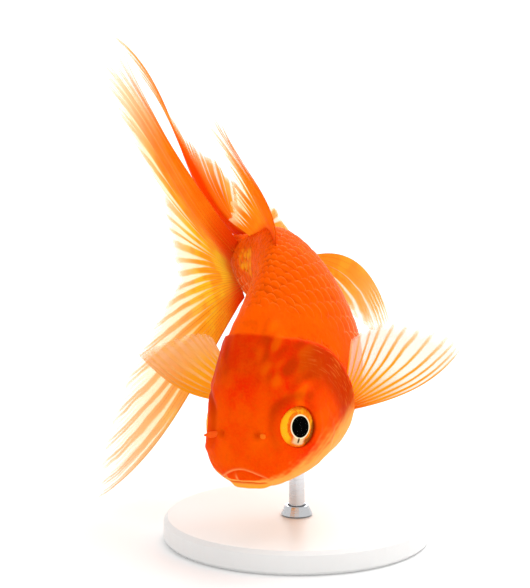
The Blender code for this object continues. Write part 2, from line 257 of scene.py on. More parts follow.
def put(name, data):
    """A new object in the scene that holds the data."""
    made = bpy.data.objects.new(name, data)
    bpy.context.scene.collection.objects.link(made)
    return made


def finish_piece(name, bm, paint, replaces=(), attributes=None, turned=False):
    """Puts a bmesh into the scene as one smooth piece of the model."""
    if not turned:
        face_outwards(bm)
    mesh = bpy.data.meshes.new(name)
    bm.to_mesh(mesh)
    bm.free()
    mesh.polygons.foreach_set("use_smooth", [True] * len(mesh.polygons))
    for key, values in (attributes or {}).items():
        mesh.attributes.new(key, "FLOAT", "POINT").data.foreach_set("value", np.asarray(values, np.float32))
    mesh.materials.append(paint)
    piece = put(name, mesh)
    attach(piece, "root")
    if replaces:
        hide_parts(*replaces)
    print(name, len(mesh.polygons), "faces")


# %% Paint helper


class Paint:
    """A material under construction: most methods add one node and return its output."""

    def __init__(self, name, **constants):
        self.material = bpy.data.materials.new(name)
        self.material.use_nodes = True
        self.tree = self.material.node_tree
        self.shader = self.tree.nodes["Principled BSDF"]
        for socket, value in constants.items():
            self.shader.inputs[socket.replace("_", " ")].default_value = value

    def give(self, socket, value):
        if isinstance(value, bpy.types.NodeSocket):
            self.tree.links.new(value, socket)
        elif hasattr(socket.default_value, "__len__") and len(socket.default_value) == 4:
            socket.default_value = (*value[:3], 1)
        else:
            socket.default_value = value

    def add(self, kind, inputs, **settings):
        made = self.tree.nodes.new("ShaderNode" + kind)
        for key, value in settings.items():
            setattr(made, key, value)
        for key, value in inputs.items():
            self.give(made.inputs[key], value)
        return made

    def math(self, operation, a, b=0.0, c=0.0):
        return self.add("Math", {0: a, 1: b, 2: c}, operation=operation).outputs[0]

    def times(self, product, *factors):
        for factor in factors:
            product = self.math("MULTIPLY", product, factor)
        return product

    def length(self, a, b):
        return self.math("SQRT", self.math("ADD", self.times(a, a), self.times(b, b)))

    def from_middle(self, value):
        """How far a value is from the middle between two whole numbers."""
        return self.math("ABSOLUTE", self.math("SUBTRACT", self.math("FRACT", value), 0.5))

    def step(self, value, low, high, start=0.0, end=1.0):
        """Smooth step of a value from start at low to end at high."""
        made = self.add("MapRange", {"Value": value, "From Min": low, "From Max": high, "To Min": start,
                                     "To Max": end}, interpolation_type="SMOOTHSTEP")
        return made.outputs[0]

    def within(self, value, start, full, fading, end):
        """Smooth steps up from start to full and down from fading to end."""
        return self.times(self.step(value, start, full), self.step(value, end, fading))

    def blend(self, share, first, second):
        return self.add("Mix", {0: share, 6: first, 7: second}, data_type="RGBA").outputs[2]

    def tint(self, colour, other, *shares):
        """The colour, moved towards another by the product of the shares."""
        return self.blend(self.times(*shares), colour, other)

    def object_place(self):
        return self.add("TexCoord", {}).outputs["Object"]

    def attribute(self, name):
        return self.add("Attribute", {}, attribute_name=name).outputs["Fac"]

    def map_uv(self, name):
        """The two coordinates of a UV map."""
        made = self.add("SeparateXYZ", {0: self.add("UVMap", {}, uv_map=name).outputs[0]})
        return made.outputs[0], made.outputs[1]

    def noise(self, size, detail=2.0, vector=None):
        """Soft noise whose lumps are about size across, in metres unless a vector is given."""
        place_in = self.object_place() if vector is None else vector
        return self.add("TexNoise", {"Vector": place_in, "Scale": 1 / size, "Detail": detail}).outputs["Fac"]

    def bump(self, height, depth):
        """Bump of the given depth in metres."""
        return self.add("Bump", {"Height": height, "Distance": depth, "Strength": 1.0}).outputs[0]

    def finish(self, colour=None, roughness=None, normal=None):
        for socket, value in (("Base Color", colour), ("Roughness", roughness), ("Normal", normal)):
            if value is not None:
                self.give(self.shader.inputs[socket], value)
        return self.material

    def mix(self, share, first, second):
        """Two shaders mixed by a share."""
        return self.add("MixShader", {0: share, 1: first, 2: second}).outputs[0]

    def surface(self, shader):
        """Gives the surface a shader of its own."""
        self.tree.links.new(shader, self.tree.nodes["Material Output"].inputs["Surface"])
        return self.material


# %% [markdown]
# ## Camera, floor and light
#
# The fish is seen from its front left and a little above, through a long lens, so that it hardly
# narrows with distance. The floor and the sky are both near white, as in a light tent: light from
# below fills the belly, and the fins can only glow if there is something bright behind them.

# %% Camera
VIEW_TURN, VIEW_RISE, VIEW_DISTANCE = radians(28), radians(15), 600.0
FRAME_HEIGHT = 114.7
AIM_RIGHT, AIM_UP = 4.3, 36.1
back = Vector((sin(VIEW_TURN) * cos(VIEW_RISE), -cos(VIEW_TURN) * cos(VIEW_RISE), sin(VIEW_RISE)))
right = Vector((cos(VIEW_TURN), sin(VIEW_TURN), 0))
eye_point = (Vector(SNOUT) + back * VIEW_DISTANCE) * MM
aim_point = (Vector(SNOUT) + right * AIM_RIGHT + back.cross(right) * AIM_UP) * MM
lens = bpy.data.cameras.new("portrait_lens")
lens.lens = lens.sensor_width * VIEW_DISTANCE / FRAME_HEIGHT
lens.clip_start, lens.clip_end = 0.01, 20
camera = put("portrait_camera", lens)
camera.location = eye_point
camera.rotation_euler = (aim_point - eye_point).to_track_quat("-Z", "Y").to_euler()
bpy.context.scene.camera = camera
bpy.context.scene.view_settings.view_transform = "Standard"
print("lens", round(lens.lens, 1), "mm")

# %% Floor and light
FLOOR_SIZE, FLOOR_WHITE = 3.0, (0.96, 0.96, 0.96)
SKY_WHITE, SKY_STRENGTH = (1, 1, 1, 1), 0.84
LIT_POINT = Vector((0, 0, 0.045))
bm = bmesh.new()
bmesh.ops.create_grid(bm, x_segments=1, y_segments=1, size=FLOOR_SIZE)
floor_mesh = bpy.data.meshes.new("floor")
bm.to_mesh(floor_mesh)
bm.free()
floor_mesh.materials.append(Paint("floor_white", Roughness=0.7).finish(colour=FLOOR_WHITE))
floor = put("floor", floor_mesh)
floor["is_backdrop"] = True

sky = bpy.data.worlds.new("light_tent")
sky.use_nodes = True
sky.node_tree.nodes["Background"].inputs["Color"].default_value = SKY_WHITE
sky.node_tree.nodes["Background"].inputs["Strength"].default_value = SKY_STRENGTH
bpy.context.scene.world = sky


def softbox(name, place_mm, size, power):
    """A square lamp that faces the middle of the fish."""
    lamp = bpy.data.lights.new(name, "AREA")
    lamp.size, lamp.energy = size, power
    box = put(name, lamp)
    box.location = Vector(place_mm) * MM
    box.rotation_euler = (LIT_POINT - box.location).to_track_quat("-Z", "Y").to_euler()


softbox("top_box", (250, 150, 900), 0.7, 3.2)
softbox("far_box", (-300, 2600, 2200), 3.0, 70.0)

# %% [markdown]
# ## The skin
#
# Head, trunk and tail stalk are one skin in life, so they are one mesh here. It starts as a sphere
# from pole to pole: the north pole becomes the middle of the lips and each ring one slice of the
# body. Rings lie closest at the lips, where the smallest forms are. The forms are then pushed in
# and out along the skin's own direction, as a sculptor would.

# %% Skin mesh
RINGS, SEGMENTS, HEAD_RINGS, HEAD_LENGTH = 300, 240, 170, 27.0
POLE_HEIGHT = 0.99999


def slowing(t):
    """Runs from 0 to 1 and slows down towards 1."""
    t = np.clip(t, 0, 1)
    return 1.25 * t - 0.25 * t ** 5


def ring_station(k):
    """Station of ring k: dense at the lips, even behind the head."""
    in_head = HEAD_LENGTH * (k / HEAD_RINGS) ** 2
    behind = HEAD_LENGTH + (BODY_END - HEAD_LENGTH) * slowing((k - HEAD_RINGS) / (RINGS - HEAD_RINGS))
    return np.where(k <= HEAD_RINGS, in_head, behind)


skin = bmesh.new()
bmesh.ops.create_uvsphere(skin, u_segments=SEGMENTS, v_segments=RINGS, radius=1)
ball = coords(skin.verts)
ring_of = np.arccos(np.clip(ball[:, 2], -1, 1)) / pi * RINGS
station = ring_station(np.round(ring_of))
angle = np.arctan2(ball[:, 1], ball[:, 0])
points = skin_point(station, angle)
pole = np.abs(ball[:, 2]) > POLE_HEIGHT
points[pole] = spine(station[pole]) + UP * widest_height(station[pole])[:, None]
set_coords(skin.verts, points)
soften(skin, skin.verts, 2)
face_outwards(skin)
print("skin starts with", len(skin.verts), "points")

# %% [markdown]
# ## Forms of the head
#
# Where each form lies: a pouting mouth with a fold over the upper lip, an eye opening on each side
# with a soft puffy rim, nostrils with a flap, and gill covers whose free rear edge stands over the
# body. All of them are distances to a line or a point, turned into a small rise or hollow.

# %% Places on the head
EYE_CENTRE, EYE_AXIS = np.array([-9.5, 9.1, 5.85]), np.array([0.25, 0.93, 0.25])
EYE_BACK = -1.5
NOSTRIL = np.array([-4.4, 5.1, 7.6])
NOSTRIL_PIT = NOSTRIL + (0.2, -1.1, 0.5)
MOUTH_HALF, MOUTH_HEIGHT, MOUTH_BEND = 4.5, -0.85, 0.045
FOLD_HEIGHT, FOLD_BEND = 2.0, 0.10
RIM_LINE = curve([(-90, 15.5), (-72, 18.5), (-50, 23.2), (-30, 25.8), (-12, 27.0), (4, 27.5), (18, 27.0),
                  (30, 25.3), (45, 22.2), (60, 19.6), (75, 18.4), (90, 18.0)])
CHEEK_LINE = curve([(-90, 9.0), (-60, 12.5), (-35, 15.6), (0, 17.4), (30, 16.4), (45, 15.4), (90, 14.0)])


def eye_frame(side):
    """Centre of an eye, its axis, and two directions across it: up and forward."""
    axis = unit(mirrored(EYE_AXIS, side))
    up = unit(UP - axis * axis[2])
    centre = EYE_CENTRE * (1, 1 if side > 0 else -float(right_share(-EYE_CENTRE[0])), 1)
    return centre, axis, up, np.cross(axis, up) * side


def eye_polar(points, side):
    """Distance from an eye's axis, height along it and the angle round it, 0 forward and 90 degrees up."""
    centre, axis, up, forward = eye_frame(side)
    local = points - centre
    a, b = local @ forward, local @ up
    return np.hypot(a, b), local @ axis, np.arctan2(b, a)


def from_nostril(points, side):
    return np.linalg.norm(points - mirrored(NOSTRIL_PIT, side), axis=1)


def folded(angle):
    """Degrees above the widest line, from -90 at the belly to 90 at the back, on either side."""
    return np.degrees(np.arcsin(np.clip(np.sin(angle), -1, 1)))


def from_mouth(y, z):
    """Height over the gape, whose corners turn down."""
    return z - (MOUTH_HEIGHT - MOUTH_BEND * y ** 2)


def from_fold(y, z):
    """Distance over the fold above the upper lip."""
    return (z - (FOLD_HEIGHT - FOLD_BEND * y ** 2)) / np.sqrt(1 + (2 * FOLD_BEND * y) ** 2)


# %% Sculpting the head
# rise, the line it follows, distance over that line, width, and where beside the middle it ends and is full
MOUTH_FORMS = ((0.38, "gape", 1.25, 0.85, 4.6, 2.6), (0.52, "gape", -1.25, 0.95, 5.0, 2.6),
               (0.16, "fold", 0.22, 0.26, 5.6, 4.9), (-0.30, "fold", -0.22, 0.24, 5.6, 4.9),
               (-0.20, "chin", 0.0, 0.36, 5.4, 4.4))
CHIN_DROP, CHIN_HALF = 2.9, 5.4
# rise, distance from the eye's axis, width, and 1 where it lies over the eye alone, as a brow
EYE_FORMS = ((0.34, 4.95, 0.80, 0), (-0.26, 6.2, 0.70, 1), (0.12, 7.6, 0.9, 1))
BROW_ANGLE = radians(65)
# rise, distance from the nostril's pit, width
NOSTRIL_FORMS = ((-0.60, 0.0, 0.60), (0.16, 1.3, 0.5))


def head_forms(points, s, angle):
    """Rise of the skin in millimetres at each point, and the mouth's own hollow."""
    x, y, z = points.T
    aside, gape = np.abs(y), from_mouth(y, z)
    chin = gape + CHIN_DROP * np.sqrt(np.clip(1 - (y / CHIN_HALF) ** 2, 0, 1))
    lines = {"gape": gape, "fold": from_fold(y, z), "chin": chin}
    lift = np.zeros(len(points))
    for rise, line, over, width, end, full in MOUTH_FORMS:
        lift += rise * hump(lines[line] - over, width) * rising(end, full, aside)
    lift *= rising(-5.0, -1.2, x)
    hollow = 0.30 * hump(gape, 0.18) * rising(MOUTH_HALF, MOUTH_HALF - 0.9, aside) * rising(-3.2, -1.6, x)
    # the snout, the gill cover's free edge and the cheek
    degrees = folded(angle)
    edge, front = s - RIM_LINE(degrees), s - CHEEK_LINE(degrees)
    lift += 0.28 * hump(s - 3.4, 2.0) * hump(degrees + 6, 26)
    free = 0.18 + 0.82 * rising(72, 42, degrees)
    lift += free * (0.34 * within(edge, -5.5, -0.6, -0.05, 0.35) - 0.20 * within(edge, 0.0, 0.35, 0.8, 3.0))
    lift += (0.12 * hump(front + 1.8, 1.4) - 0.14 * hump(front, 0.8)) * within(degrees, -75, -50, 32, 48)
    for side, _ in SIDES:
        rho, high, turn = eye_polar(points, side)
        brow = np.clip(np.cos(turn - BROW_ANGLE), 0, 1)
        for rise, distance, width, on_brow in EYE_FORMS:
            lift += rise * hump(rho - distance, width) * rising(EYE_BACK, 0.0, high) * (brow if on_brow else 1)
        for rise, distance, width in NOSTRIL_FORMS:
            lift += rise * hump(from_nostril(points, side) - distance, width)
    return lift, hollow


# %% Lumps and ridges
WAVES = 7
RIDGE_RISE, LUMP_RISE, RIGHT_RIDGES = 0.30, 0.05, 0.35
MOUTH_INWARD = np.array([1, 0, 0.1])


def lumps(points, size, seed):
    """Smooth irregular lumps from a few crossed waves."""
    rng = np.random.default_rng(seed)
    total = np.zeros(len(points))
    for _ in range(WAVES):
        way = unit(rng.normal(size=3))
        total += np.sin(points @ way * 2 * pi / (size * rng.uniform(0.7, 1.5)) + rng.uniform(0, 2 * pi))
    return total / WAVES


def bone_ridges(points, s, angle):
    """Long low ridges of the skull, beside the crown; they are lower on the right side."""
    degrees = folded(angle)
    where = within(s, 9, 13, 20, 25) * within(degrees, 14, 34, 68, 85)
    where = where * np.where(np.cos(angle) > 0, 1.0, RIGHT_RIDGES)
    return lumps(points * (0.50, 1.25, 1.25), 3.7, seed=3) * where


skin.normal_update()
points = coords(skin.verts)
normals = np.array([v.normal for v in skin.verts])
lift, hollow = head_forms(points, station, angle)
lift += RIDGE_RISE * bone_ridges(points, station, angle) + LUMP_RISE * lumps(points, 2.0, seed=5)
set_coords(skin.verts, points + normals * lift[:, None] - MOUTH_INWARD * hollow[:, None])
print("forms of the head rise up to", round(lift.max(), 2), "mm")

# %% [markdown]
# ## Eye openings
#
# An eye needs a clean round opening, and a grid that wasn't laid out around it gives a ragged one.
# So the faces over the eye are removed, the ragged edge is drawn onto a circle, and the circle is
# extruded inwards ring by ring: over the rim, down beside the eyeball and shut behind it.

# %% Cutting the openings
RIM_RADIUS, RIM_WAVE = 4.45, 0.62
EYE_REACH, SOFT_BAND, SOFT_TIMES = 7.2, 1.3, 6
# radius, height, and 1 where the ring follows the rim's own height
SOCKET_RINGS = ((4.30, 0.05, 1), (4.18, -0.06, 1), (4.09, -0.24, 1), (4.05, -0.5, 1), (4.1, -1.0, 1),
                (4.1, -1.5, 0), (2.0, -2.5, 0))


def even_height(turn, high):
    """The rim's height as a smooth wave of its angle."""
    terms = np.stack([np.ones_like(turn)] + [f(k * turn) for k in (1, 2, 3) for f in (np.cos, np.sin)], 1)
    smooth = terms @ np.linalg.lstsq(terms, high, rcond=None)[0]
    return smooth.mean() + RIM_WAVE * (smooth - smooth.mean())


def draw_ring(verts, side, turn, high, radius):
    """Puts points on a circle round the eye's axis, each at its own height."""
    centre, axis, up, forward = eye_frame(side)
    for vert, t, h in zip(verts, turn, high):
        vert.co = centre + axis * h + radius * (forward * cos(t) + up * sin(t))


def open_eye(bm, side):
    rho, high, _ = eye_polar(np.array([f.calc_center_median() for f in bm.faces]), side)
    bm.faces.ensure_lookup_table()
    over_eye = [bm.faces[i] for i in np.flatnonzero((rho < RIM_RADIUS) & (high > EYE_BACK))]
    bmesh.ops.delete(bm, geom=over_eye, context="FACES")
    edge = [e for e in bm.edges if e.is_boundary]
    rim = list({v for e in edge for v in e.verts})
    _, high, turn = eye_polar(coords(rim), side)
    high = even_height(turn, high)
    draw_ring(rim, side, turn, high, RIM_RADIUS)
    order = np.argsort(turn)
    rim_turn, rim_high = turn[order], high[order]
    fixed, centre = set(rim), eye_frame(side)[0]
    near = [v for v in bm.verts if v not in fixed and np.linalg.norm(np.array(v.co) - centre) < EYE_REACH]
    band = [v for v, rho in zip(near, eye_polar(coords(near), side)[0]) if rho < RIM_RADIUS + SOFT_BAND]
    soften(bm, band, SOFT_TIMES)
    for radius, height, follows in SOCKET_RINGS:
        made = bmesh.ops.extrude_edge_only(bm, edges=edge)["geom"]
        edge = [g for g in made if isinstance(g, bmesh.types.BMEdge) and g.is_boundary]
        ring = list({v for e in edge for v in e.verts})
        turn = eye_polar(coords(ring), side)[2]
        level = np.interp(turn, rim_turn, rim_high, period=2 * pi)
        draw_ring(ring, side, turn, follows * level + height, radius)
    bmesh.ops.contextual_create(bm, geom=edge)


for side, _ in SIDES:
    open_eye(skin, side)
print("skin with eye openings:", len(skin.faces), "faces")

# %% [markdown]
# ## Markings
#
# Skin and scales share their colours, so one function says how much of each tint a point has. It
# gives plain numbers, nearly all from 0 to 1, that are stored on the mesh and read by name in the
# materials.

# %% Where the tints lie


def markings(points, s, angle):
    """Shares of the tints at points of the body, painted shade and highlight among them."""
    degrees = folded(angle)
    x, y, z = points.T
    aside = np.abs(y)
    edge, off = s - RIM_LINE(degrees), from_mouth(y, z)
    head = rising(0.5, -0.4, edge)
    # the gold of the belly, with a streaky edge on the head and a soft one behind
    streaks = 9 * lumps(points * (0.35, 1, 1), 2.6, seed=8) + 7 * lumps(points * (0.4, 1, 1), 1.0, seed=9)
    low_head = rising(0, -28, degrees + streaks)
    low_body = rising(-14, -46, degrees + 5 * lumps(points, 9, seed=8))
    belly = head * low_head + (1 - head) * low_body
    # darker places: gill cover, crown and tail stalk, and a painted shade over the right side of the head
    gill = within(edge, -10.0, -5.5, -1.0, 0.2) * within(degrees, -26, -4, 34, 64)
    # painted shade: the right side of the head is darkened as if it were turned from the light
    right_side_shade = rising(0.0, -0.5, np.cos(angle)) * rising(8, 12, s) * rising(-20, 10, degrees) * head
    crown = rising(8, 14, s) * rising(44, 70, degrees) * head
    ridges = bone_ridges(points, s, angle)
    stalk = 0.25 * rising(47, 55, s) + 0.60 * rising(57.5, 60.0, s)
    # the mouth: its gape, the pale fold with a painted glint down the middle, and the lower lip
    gape = rising(MOUTH_HALF + 0.3, MOUTH_HALF - 0.8, aside) * rising(-3.0, -1.2, x)
    in_front = rising(-4.5, -1.5, x)
    pale_lip_and_glint = hump(from_fold(y, z) - 0.12, 0.24) * rising(5.6, 4.6, aside) * in_front
    # painted glint: a pale line down the middle of the upper lip
    middle = hump(y + 1.1 + 0.3 * (z - 0.4), 0.26) * within(off, -0.7, 0.0, 1.4, 2.4)
    pale_lip_and_glint += 0.9 * middle * in_front
    lower = hump(off + 1.4, 1.0) * rising(5.6, 3.6, aside) * in_front
    spot = within(s, 50.6, 51.8, 56.6, 57.6) * within(degrees, 24, 31, 56, 62)
    gold = spot * rising(-0.55, 0.35, lumps(points * (1, 1, 0.5), 1.6, seed=4)) + 0.7 * lower
    # painted shade: an arc over each eye, a dark ring at the eye's rim and a dark spot in each nostril's pit
    crease_shade = np.zeros(len(points))
    for side, _ in SIDES:
        rho, high, turn = eye_polar(points, side)
        over = 0.9 * hump(rho - 6.0, 1.0) * np.clip(np.cos(turn - radians(70)), 0, 1) ** 0.7
        crease_shade += (over + 0.9 * rising(4.15, 4.0, rho)) * rising(EYE_BACK, 0.0, high)
        crease_shade += 0.7 * hump(from_nostril(points, side), 0.9)
    # painted shade: the right side of the head, the troughs between the skull's ridges and the creases join the
    # darker tones
    dark = gill + 0.46 * crown + 0.26 * right_side_shade + np.clip(-1.6 * ridges, 0, 0.7) + stalk * (1 - gold) + crease_shade
    # painted highlight on the crests of the skull's ridges; the other terms warm the snout, a patch high on the
    # head and the cheek
    warm = np.clip(3.0 * ridges, 0, 1) + 0.48 * rising(10, 3, s) + 0.5 * hump(degrees - 66, 14) * hump(s - 8, 4)
    warm += 0.55 * hump(degrees - 6, 24) * within(s, 10, 14, 18, 23)
    shares = {"head": head, "belly": belly, "dark": dark, "mouth": hump(off, 0.26) * gape, "pale_lip_and_glint": pale_lip_and_glint,
              "gold": gold, "warm": warm}
    clipped = {key: np.clip(share, 0, 1) for key, share in shares.items()}
    return {**clipped, "from_rim": edge, "degrees": degrees}


# %% Skin paint
HEAD_RED, BODY_ORANGE, BELLY_GOLD = (0.87, 0.017, 0.0002), (0.97, 0.098, 0.0002), (0.98, 0.45, 0.075)
DEEP_RED, LIP_PALE, MOUTH_RED = (0.44, 0.034, 0.0002), (0.98, 0.34, 0.10), (0.84, 0.075, 0.002)
WARM_ORANGE, STALK_GOLD, RIM_STREAK_GLINT = (0.98, 0.135, 0.0002), (0.97, 0.36, 0.006), (0.98, 0.28, 0.05)
# lump size in metres, noise detail, where the noise starts and is full, strength, tint
MOTTLING = ((0.0060, 3, 0.42, 0.68, 0.36, WARM_ORANGE), (0.0014, 3, 0.45, 0.75, 0.22, DEEP_RED),
            (0.00045, 2, 0.38, 0.66, 0.12, WARM_ORANGE))
SHARE_TINTS = (("warm", 0.75, WARM_ORANGE), ("belly", 0.85, BELLY_GOLD), ("dark", 0.72, DEEP_RED),
               ("gold", 0.85, STALK_GOLD))


def tinted(paint):
    """Base colour from the stored shares, painted shade and highlight among them, with soft natural mottling."""
    colour = paint.blend(paint.attribute("head"), BODY_ORANGE, HEAD_RED)
    for size, detail, start, full, strength, tone in MOTTLING:
        colour = paint.tint(colour, tone, paint.step(paint.noise(size, detail), start, full), strength)
    for share, strength, tone in SHARE_TINTS:
        colour = paint.tint(colour, tone, paint.attribute(share), strength)
    return colour


def skin_paint():
    paint = Paint("wet_skin", Subsurface_Weight=0.10, Subsurface_Scale=0.0010,
                  Subsurface_Radius=(1.0, 0.30, 0.12), Specular_IOR_Level=0.008)
    # the pale fold over the upper lip, with the painted glint down its middle
    colour = paint.tint(tinted(paint), LIP_PALE, paint.attribute("pale_lip_and_glint"), 0.80)
    colour = paint.blend(paint.attribute("mouth"), colour, MOUTH_RED)
    edge, degrees = paint.attribute("from_rim"), paint.attribute("degrees")
    # painted highlight: pale wet glinting streaks along the gill cover's free edge
    along_rim = paint.add("CombineXYZ", {0: edge, 1: paint.times(degrees, 0.04)}).outputs[0]
    rim_glints = paint.step(paint.noise(1 / 2.6, 5.0, along_rim), 0.54, 0.62)
    near_rim, beside = paint.within(edge, -9.0, -1.0, -0.1, 0.4), paint.within(degrees, -65, -35, 20, 50)
    colour = paint.tint(colour, RIM_STREAK_GLINT, rim_glints, near_rim, beside, 0.30)
    height = paint.math("ADD", paint.noise(0.0009, 3), paint.times(paint.noise(0.0003, 2), 0.3))
    return paint.finish(colour, paint.step(paint.noise(0.003, 2), 0.3, 0.7, 0.30, 0.46),
                        paint.bump(height, 0.00010))


WET_SKIN = skin_paint()

# %% The skin becomes a piece


def nearest_param(points):
    """Station and angle of points on the body, found by sliding along the backbone."""
    table = spine(STATIONS)[:, :2]
    s = STATIONS[[np.argmin(((table - p[:2]) ** 2).sum(1)) for p in points]]
    across = np.einsum("ij,ij->i", points - spine(s), leftward(s))
    above = points[:, 2] - widest_height(s)
    height = np.where(above > 0, back_line(s) - widest_height(s), widest_height(s) - belly_line(s))
    sine = np.clip(above / height, -1, 1)
    return s, np.arctan2(sine, np.sign(across) * np.sqrt(1 - sine ** 2))


points = coords(skin.verts)
print("points added at the eyes:", len(points) - len(station))
place(skin.verts, points)
finish_piece("body_skin", skin, WET_SKIN,
             ("head", "trunk", "tail_stalk", "gill_cover_left", "gill_cover_right"),
             markings(points, *nearest_param(points)))

# %% [markdown]
# ## Eyes
#
# A fish eye is a flattened ball with a wide pupil, a bright metallic iris and a clear cornea over
# both. Two closed shells do it: the ball carries the iris on a map that looks straight at it, and
# a slightly larger clear shell gives the wet highlight in front of it.

# %% Eye shells
IRIS_RADIUS, IRIS_HEIGHT = 4.38, 2.00
CORNEA_RADIUS, CORNEA_HEIGHT = 4.42, 2.32
EYE_FULLNESS = 2.5


def eye_shell(side, radius, height):
    """A flattened ball on the eye's axis, with a map that looks along the axis."""
    centre, axis, up, forward = eye_frame(side)
    bm = bmesh.new()
    bmesh.ops.create_uvsphere(bm, u_segments=64, v_segments=48, radius=1)
    disc = bm.loops.layers.uv.new("disc")
    for face in bm.faces:
        for loop in face.loops:
            loop[disc].uv = (0.5 + loop.vert.co.x / 2, 0.5 + loop.vert.co.y / 2)
    local = coords(bm.verts)
    out = np.clip(np.hypot(local[:, 0], local[:, 1]), 0, 1)
    high = (np.sign(local[:, 2]) * (1 - out ** EYE_FULLNESS) ** (1 / EYE_FULLNESS))[:, None]
    place(bm.verts, centre + radius * (local[:, :1] * forward + local[:, 1:2] * up) + height * high * axis)
    return bm


# %% Eye paint
IRIS_TONES = {"orange": (0.86, 0.13, 0.003), "gold": (0.96, 0.27, 0.006), "top": (0.98, 0.40, 0.010),
              "speck": (0.40, 0.06, 0.002), "crescent": (1.0, 0.46, 0.010), "hollow": (0.80, 0.10, 0.002),
              "pale": (0.82, 0.64, 0.36), "limb": (0.86, 0.11, 0.003), "brown": (0.24, 0.055, 0.003),
              "ring": (0.98, 0.84, 0.56), "notch": (0.10, 0.05, 0.02), "pupil": (0.0005, 0.0005, 0.0005)}
CORNEA_ROUGHNESS, CORNEA_IOR, CORNEA_SHINE = 0.03, 1.34, 0.04


def iris_paint():
    """Pupil, pale ring and mottled gold iris by distance from the middle of the map."""
    paint = Paint("gold_iris", Specular_IOR_Level=0.02)
    u, v = paint.map_uv("disc")
    a, b = paint.math("SUBTRACT", u, 0.5), paint.math("SUBTRACT", v, 0.5)
    far = paint.times(paint.length(a, b), 2 * IRIS_RADIUS)
    ahead, low = paint.math("ADD", a, b), paint.math("SUBTRACT", a, b)
    beside = paint.math("ABSOLUTE", ahead)
    ragged = paint.math("ADD", far, paint.math("MULTIPLY_ADD", paint.noise(0.0012, 3), 0.5, -0.25))
    cloud = paint.step(paint.noise(0.0008, 4), 0.40, 0.62)
    colour = paint.blend(cloud, IRIS_TONES["orange"], IRIS_TONES["gold"])
    layers = {
        "top": (paint.step(low, 0.10, -0.25), paint.step(cloud, 0.1, 0.9, 0.35, 1.0)),
        "speck": (paint.step(paint.noise(0.00035, 2), 0.60, 0.68), paint.step(low, 0.2, -0.1), 0.6),
        "crescent": (paint.step(ragged, 2.9, 3.3), paint.step(ahead, 0.20, 0.42)),
        "hollow": (paint.step(ragged, 3.15, 2.9), paint.step(ahead, 0.08, 0.20), 0.7),
        "pale": (paint.step(low, 0.22, 0.34), paint.step(ragged, 3.7, 3.3), paint.step(beside, 0.28, 0.14), 0.8),
        "limb": (paint.step(ragged, 3.75, 4.1), paint.step(ahead, 0.40, 0.20)),
        "brown": (paint.step(b, -0.10, -0.22), paint.step(a, 0.16, 0.04), paint.step(ragged, 2.75, 3.0), 0.9),
        "ring": (paint.step(far, 2.46, 2.32),),
        "notch": (paint.step(beside, 0.050, 0.018), paint.within(far, 2.2, 2.3, 3.0, 3.4),
                  paint.step(low, 0.1, 0.2)),
        "pupil": (paint.step(far, 2.18, 2.08),),
    }
    for tone, shares in layers.items():
        colour = paint.tint(colour, IRIS_TONES[tone], *shares)
    return paint.finish(colour, paint.step(far, 2.1, 2.3, 0.9, 0.4), paint.bump(paint.noise(0.0005, 3), 0.00006))


def cornea_paint():
    """Clear shell: it lets everything through and mirrors the light at a slant."""
    paint = Paint("clear_cornea", Roughness=CORNEA_ROUGHNESS)
    paint.finish(colour=(1, 1, 1))
    clear = paint.add("BsdfTransparent", {}).outputs[0]
    shine = paint.add("BsdfGlossy", {"Color": (1, 1, 1), "Roughness": CORNEA_ROUGHNESS}).outputs[0]
    slant = paint.add("Fresnel", {"IOR": CORNEA_IOR}).outputs[0]
    return paint.surface(paint.mix(paint.times(slant, CORNEA_SHINE), clear, shine))


GOLD_IRIS, CLEAR_CORNEA = iris_paint(), cornea_paint()
for side, label in SIDES:
    ball, shell = eye_shell(side, IRIS_RADIUS, IRIS_HEIGHT), eye_shell(side, CORNEA_RADIUS, CORNEA_HEIGHT)
    finish_piece("eyeball_" + label, ball, GOLD_IRIS, ("eye_" + label,))
    finish_piece("cornea_" + label, shell, CLEAR_CORNEA)

# %% [markdown]
# ## Nostril flaps
#
# Each nostril of a goldfish is crossed by a small upright flap of skin that stands clear of the
# snout. It is a flattened ball, bent back over itself, in the skin's own paint.

# %% Flaps
# size, direction, how far out it sits, and its share of gold, larger on the left flap as a painted highlight
FLAPS = {1: ((0.55, 0.62, 1.1), (0.5, 0.6, 0.6), 0.0, 0.32),
         -1: ((0.52, 0.72, 1.6), (0.45, 0.85, 0.15), 1.25, 0.12)}
FLAP_TAPER, FLAP_BEND = 0.45, 0.20
ALL_SHARES = ("head", "belly", "dark", "mouth", "pale_lip_and_glint", "gold", "warm", "from_rim", "degrees")

for side, label in SIDES:
    size, out, distance, gold = FLAPS[side]
    bm = bmesh.new()
    bmesh.ops.create_uvsphere(bm, u_segments=28, v_segments=20, radius=1)
    local = coords(bm.verts) * size
    high = local[:, 2:] / size[2]
    local[:, :2] *= 1 - FLAP_TAPER * rising(0.0, 1.0, high)
    local[:, :1] -= FLAP_BEND * high ** 2
    out = unit(mirrored(out, side))
    wide = unit(np.cross(out, [1, 0, 0]))
    spots = mirrored(NOSTRIL, side) + distance * out + local @ np.array([np.cross(wide, out), wide, out])
    place(bm.verts, spots)
    given = {"head": 1.0, "belly": 0.15, "gold": gold, "from_rim": -20.0}
    shares = {key: np.full(len(spots), given.get(key, 0.0)) for key in ALL_SHARES}
    finish_piece("nostril_flap_" + label, bm, WET_SKIN, attributes=shares)

# %% [markdown]
# ## Scales
#
# Goldfish scales lie like roof tiles: the front of each is sunk in the skin, the round rear edge is
# free, and every second row is shifted by half a scale. Each one here is a small grid laid on the
# body, so it bends with it, and all of them are joined into one mesh. Close behind the head they
# sink into the skin, where the real ones are covered.

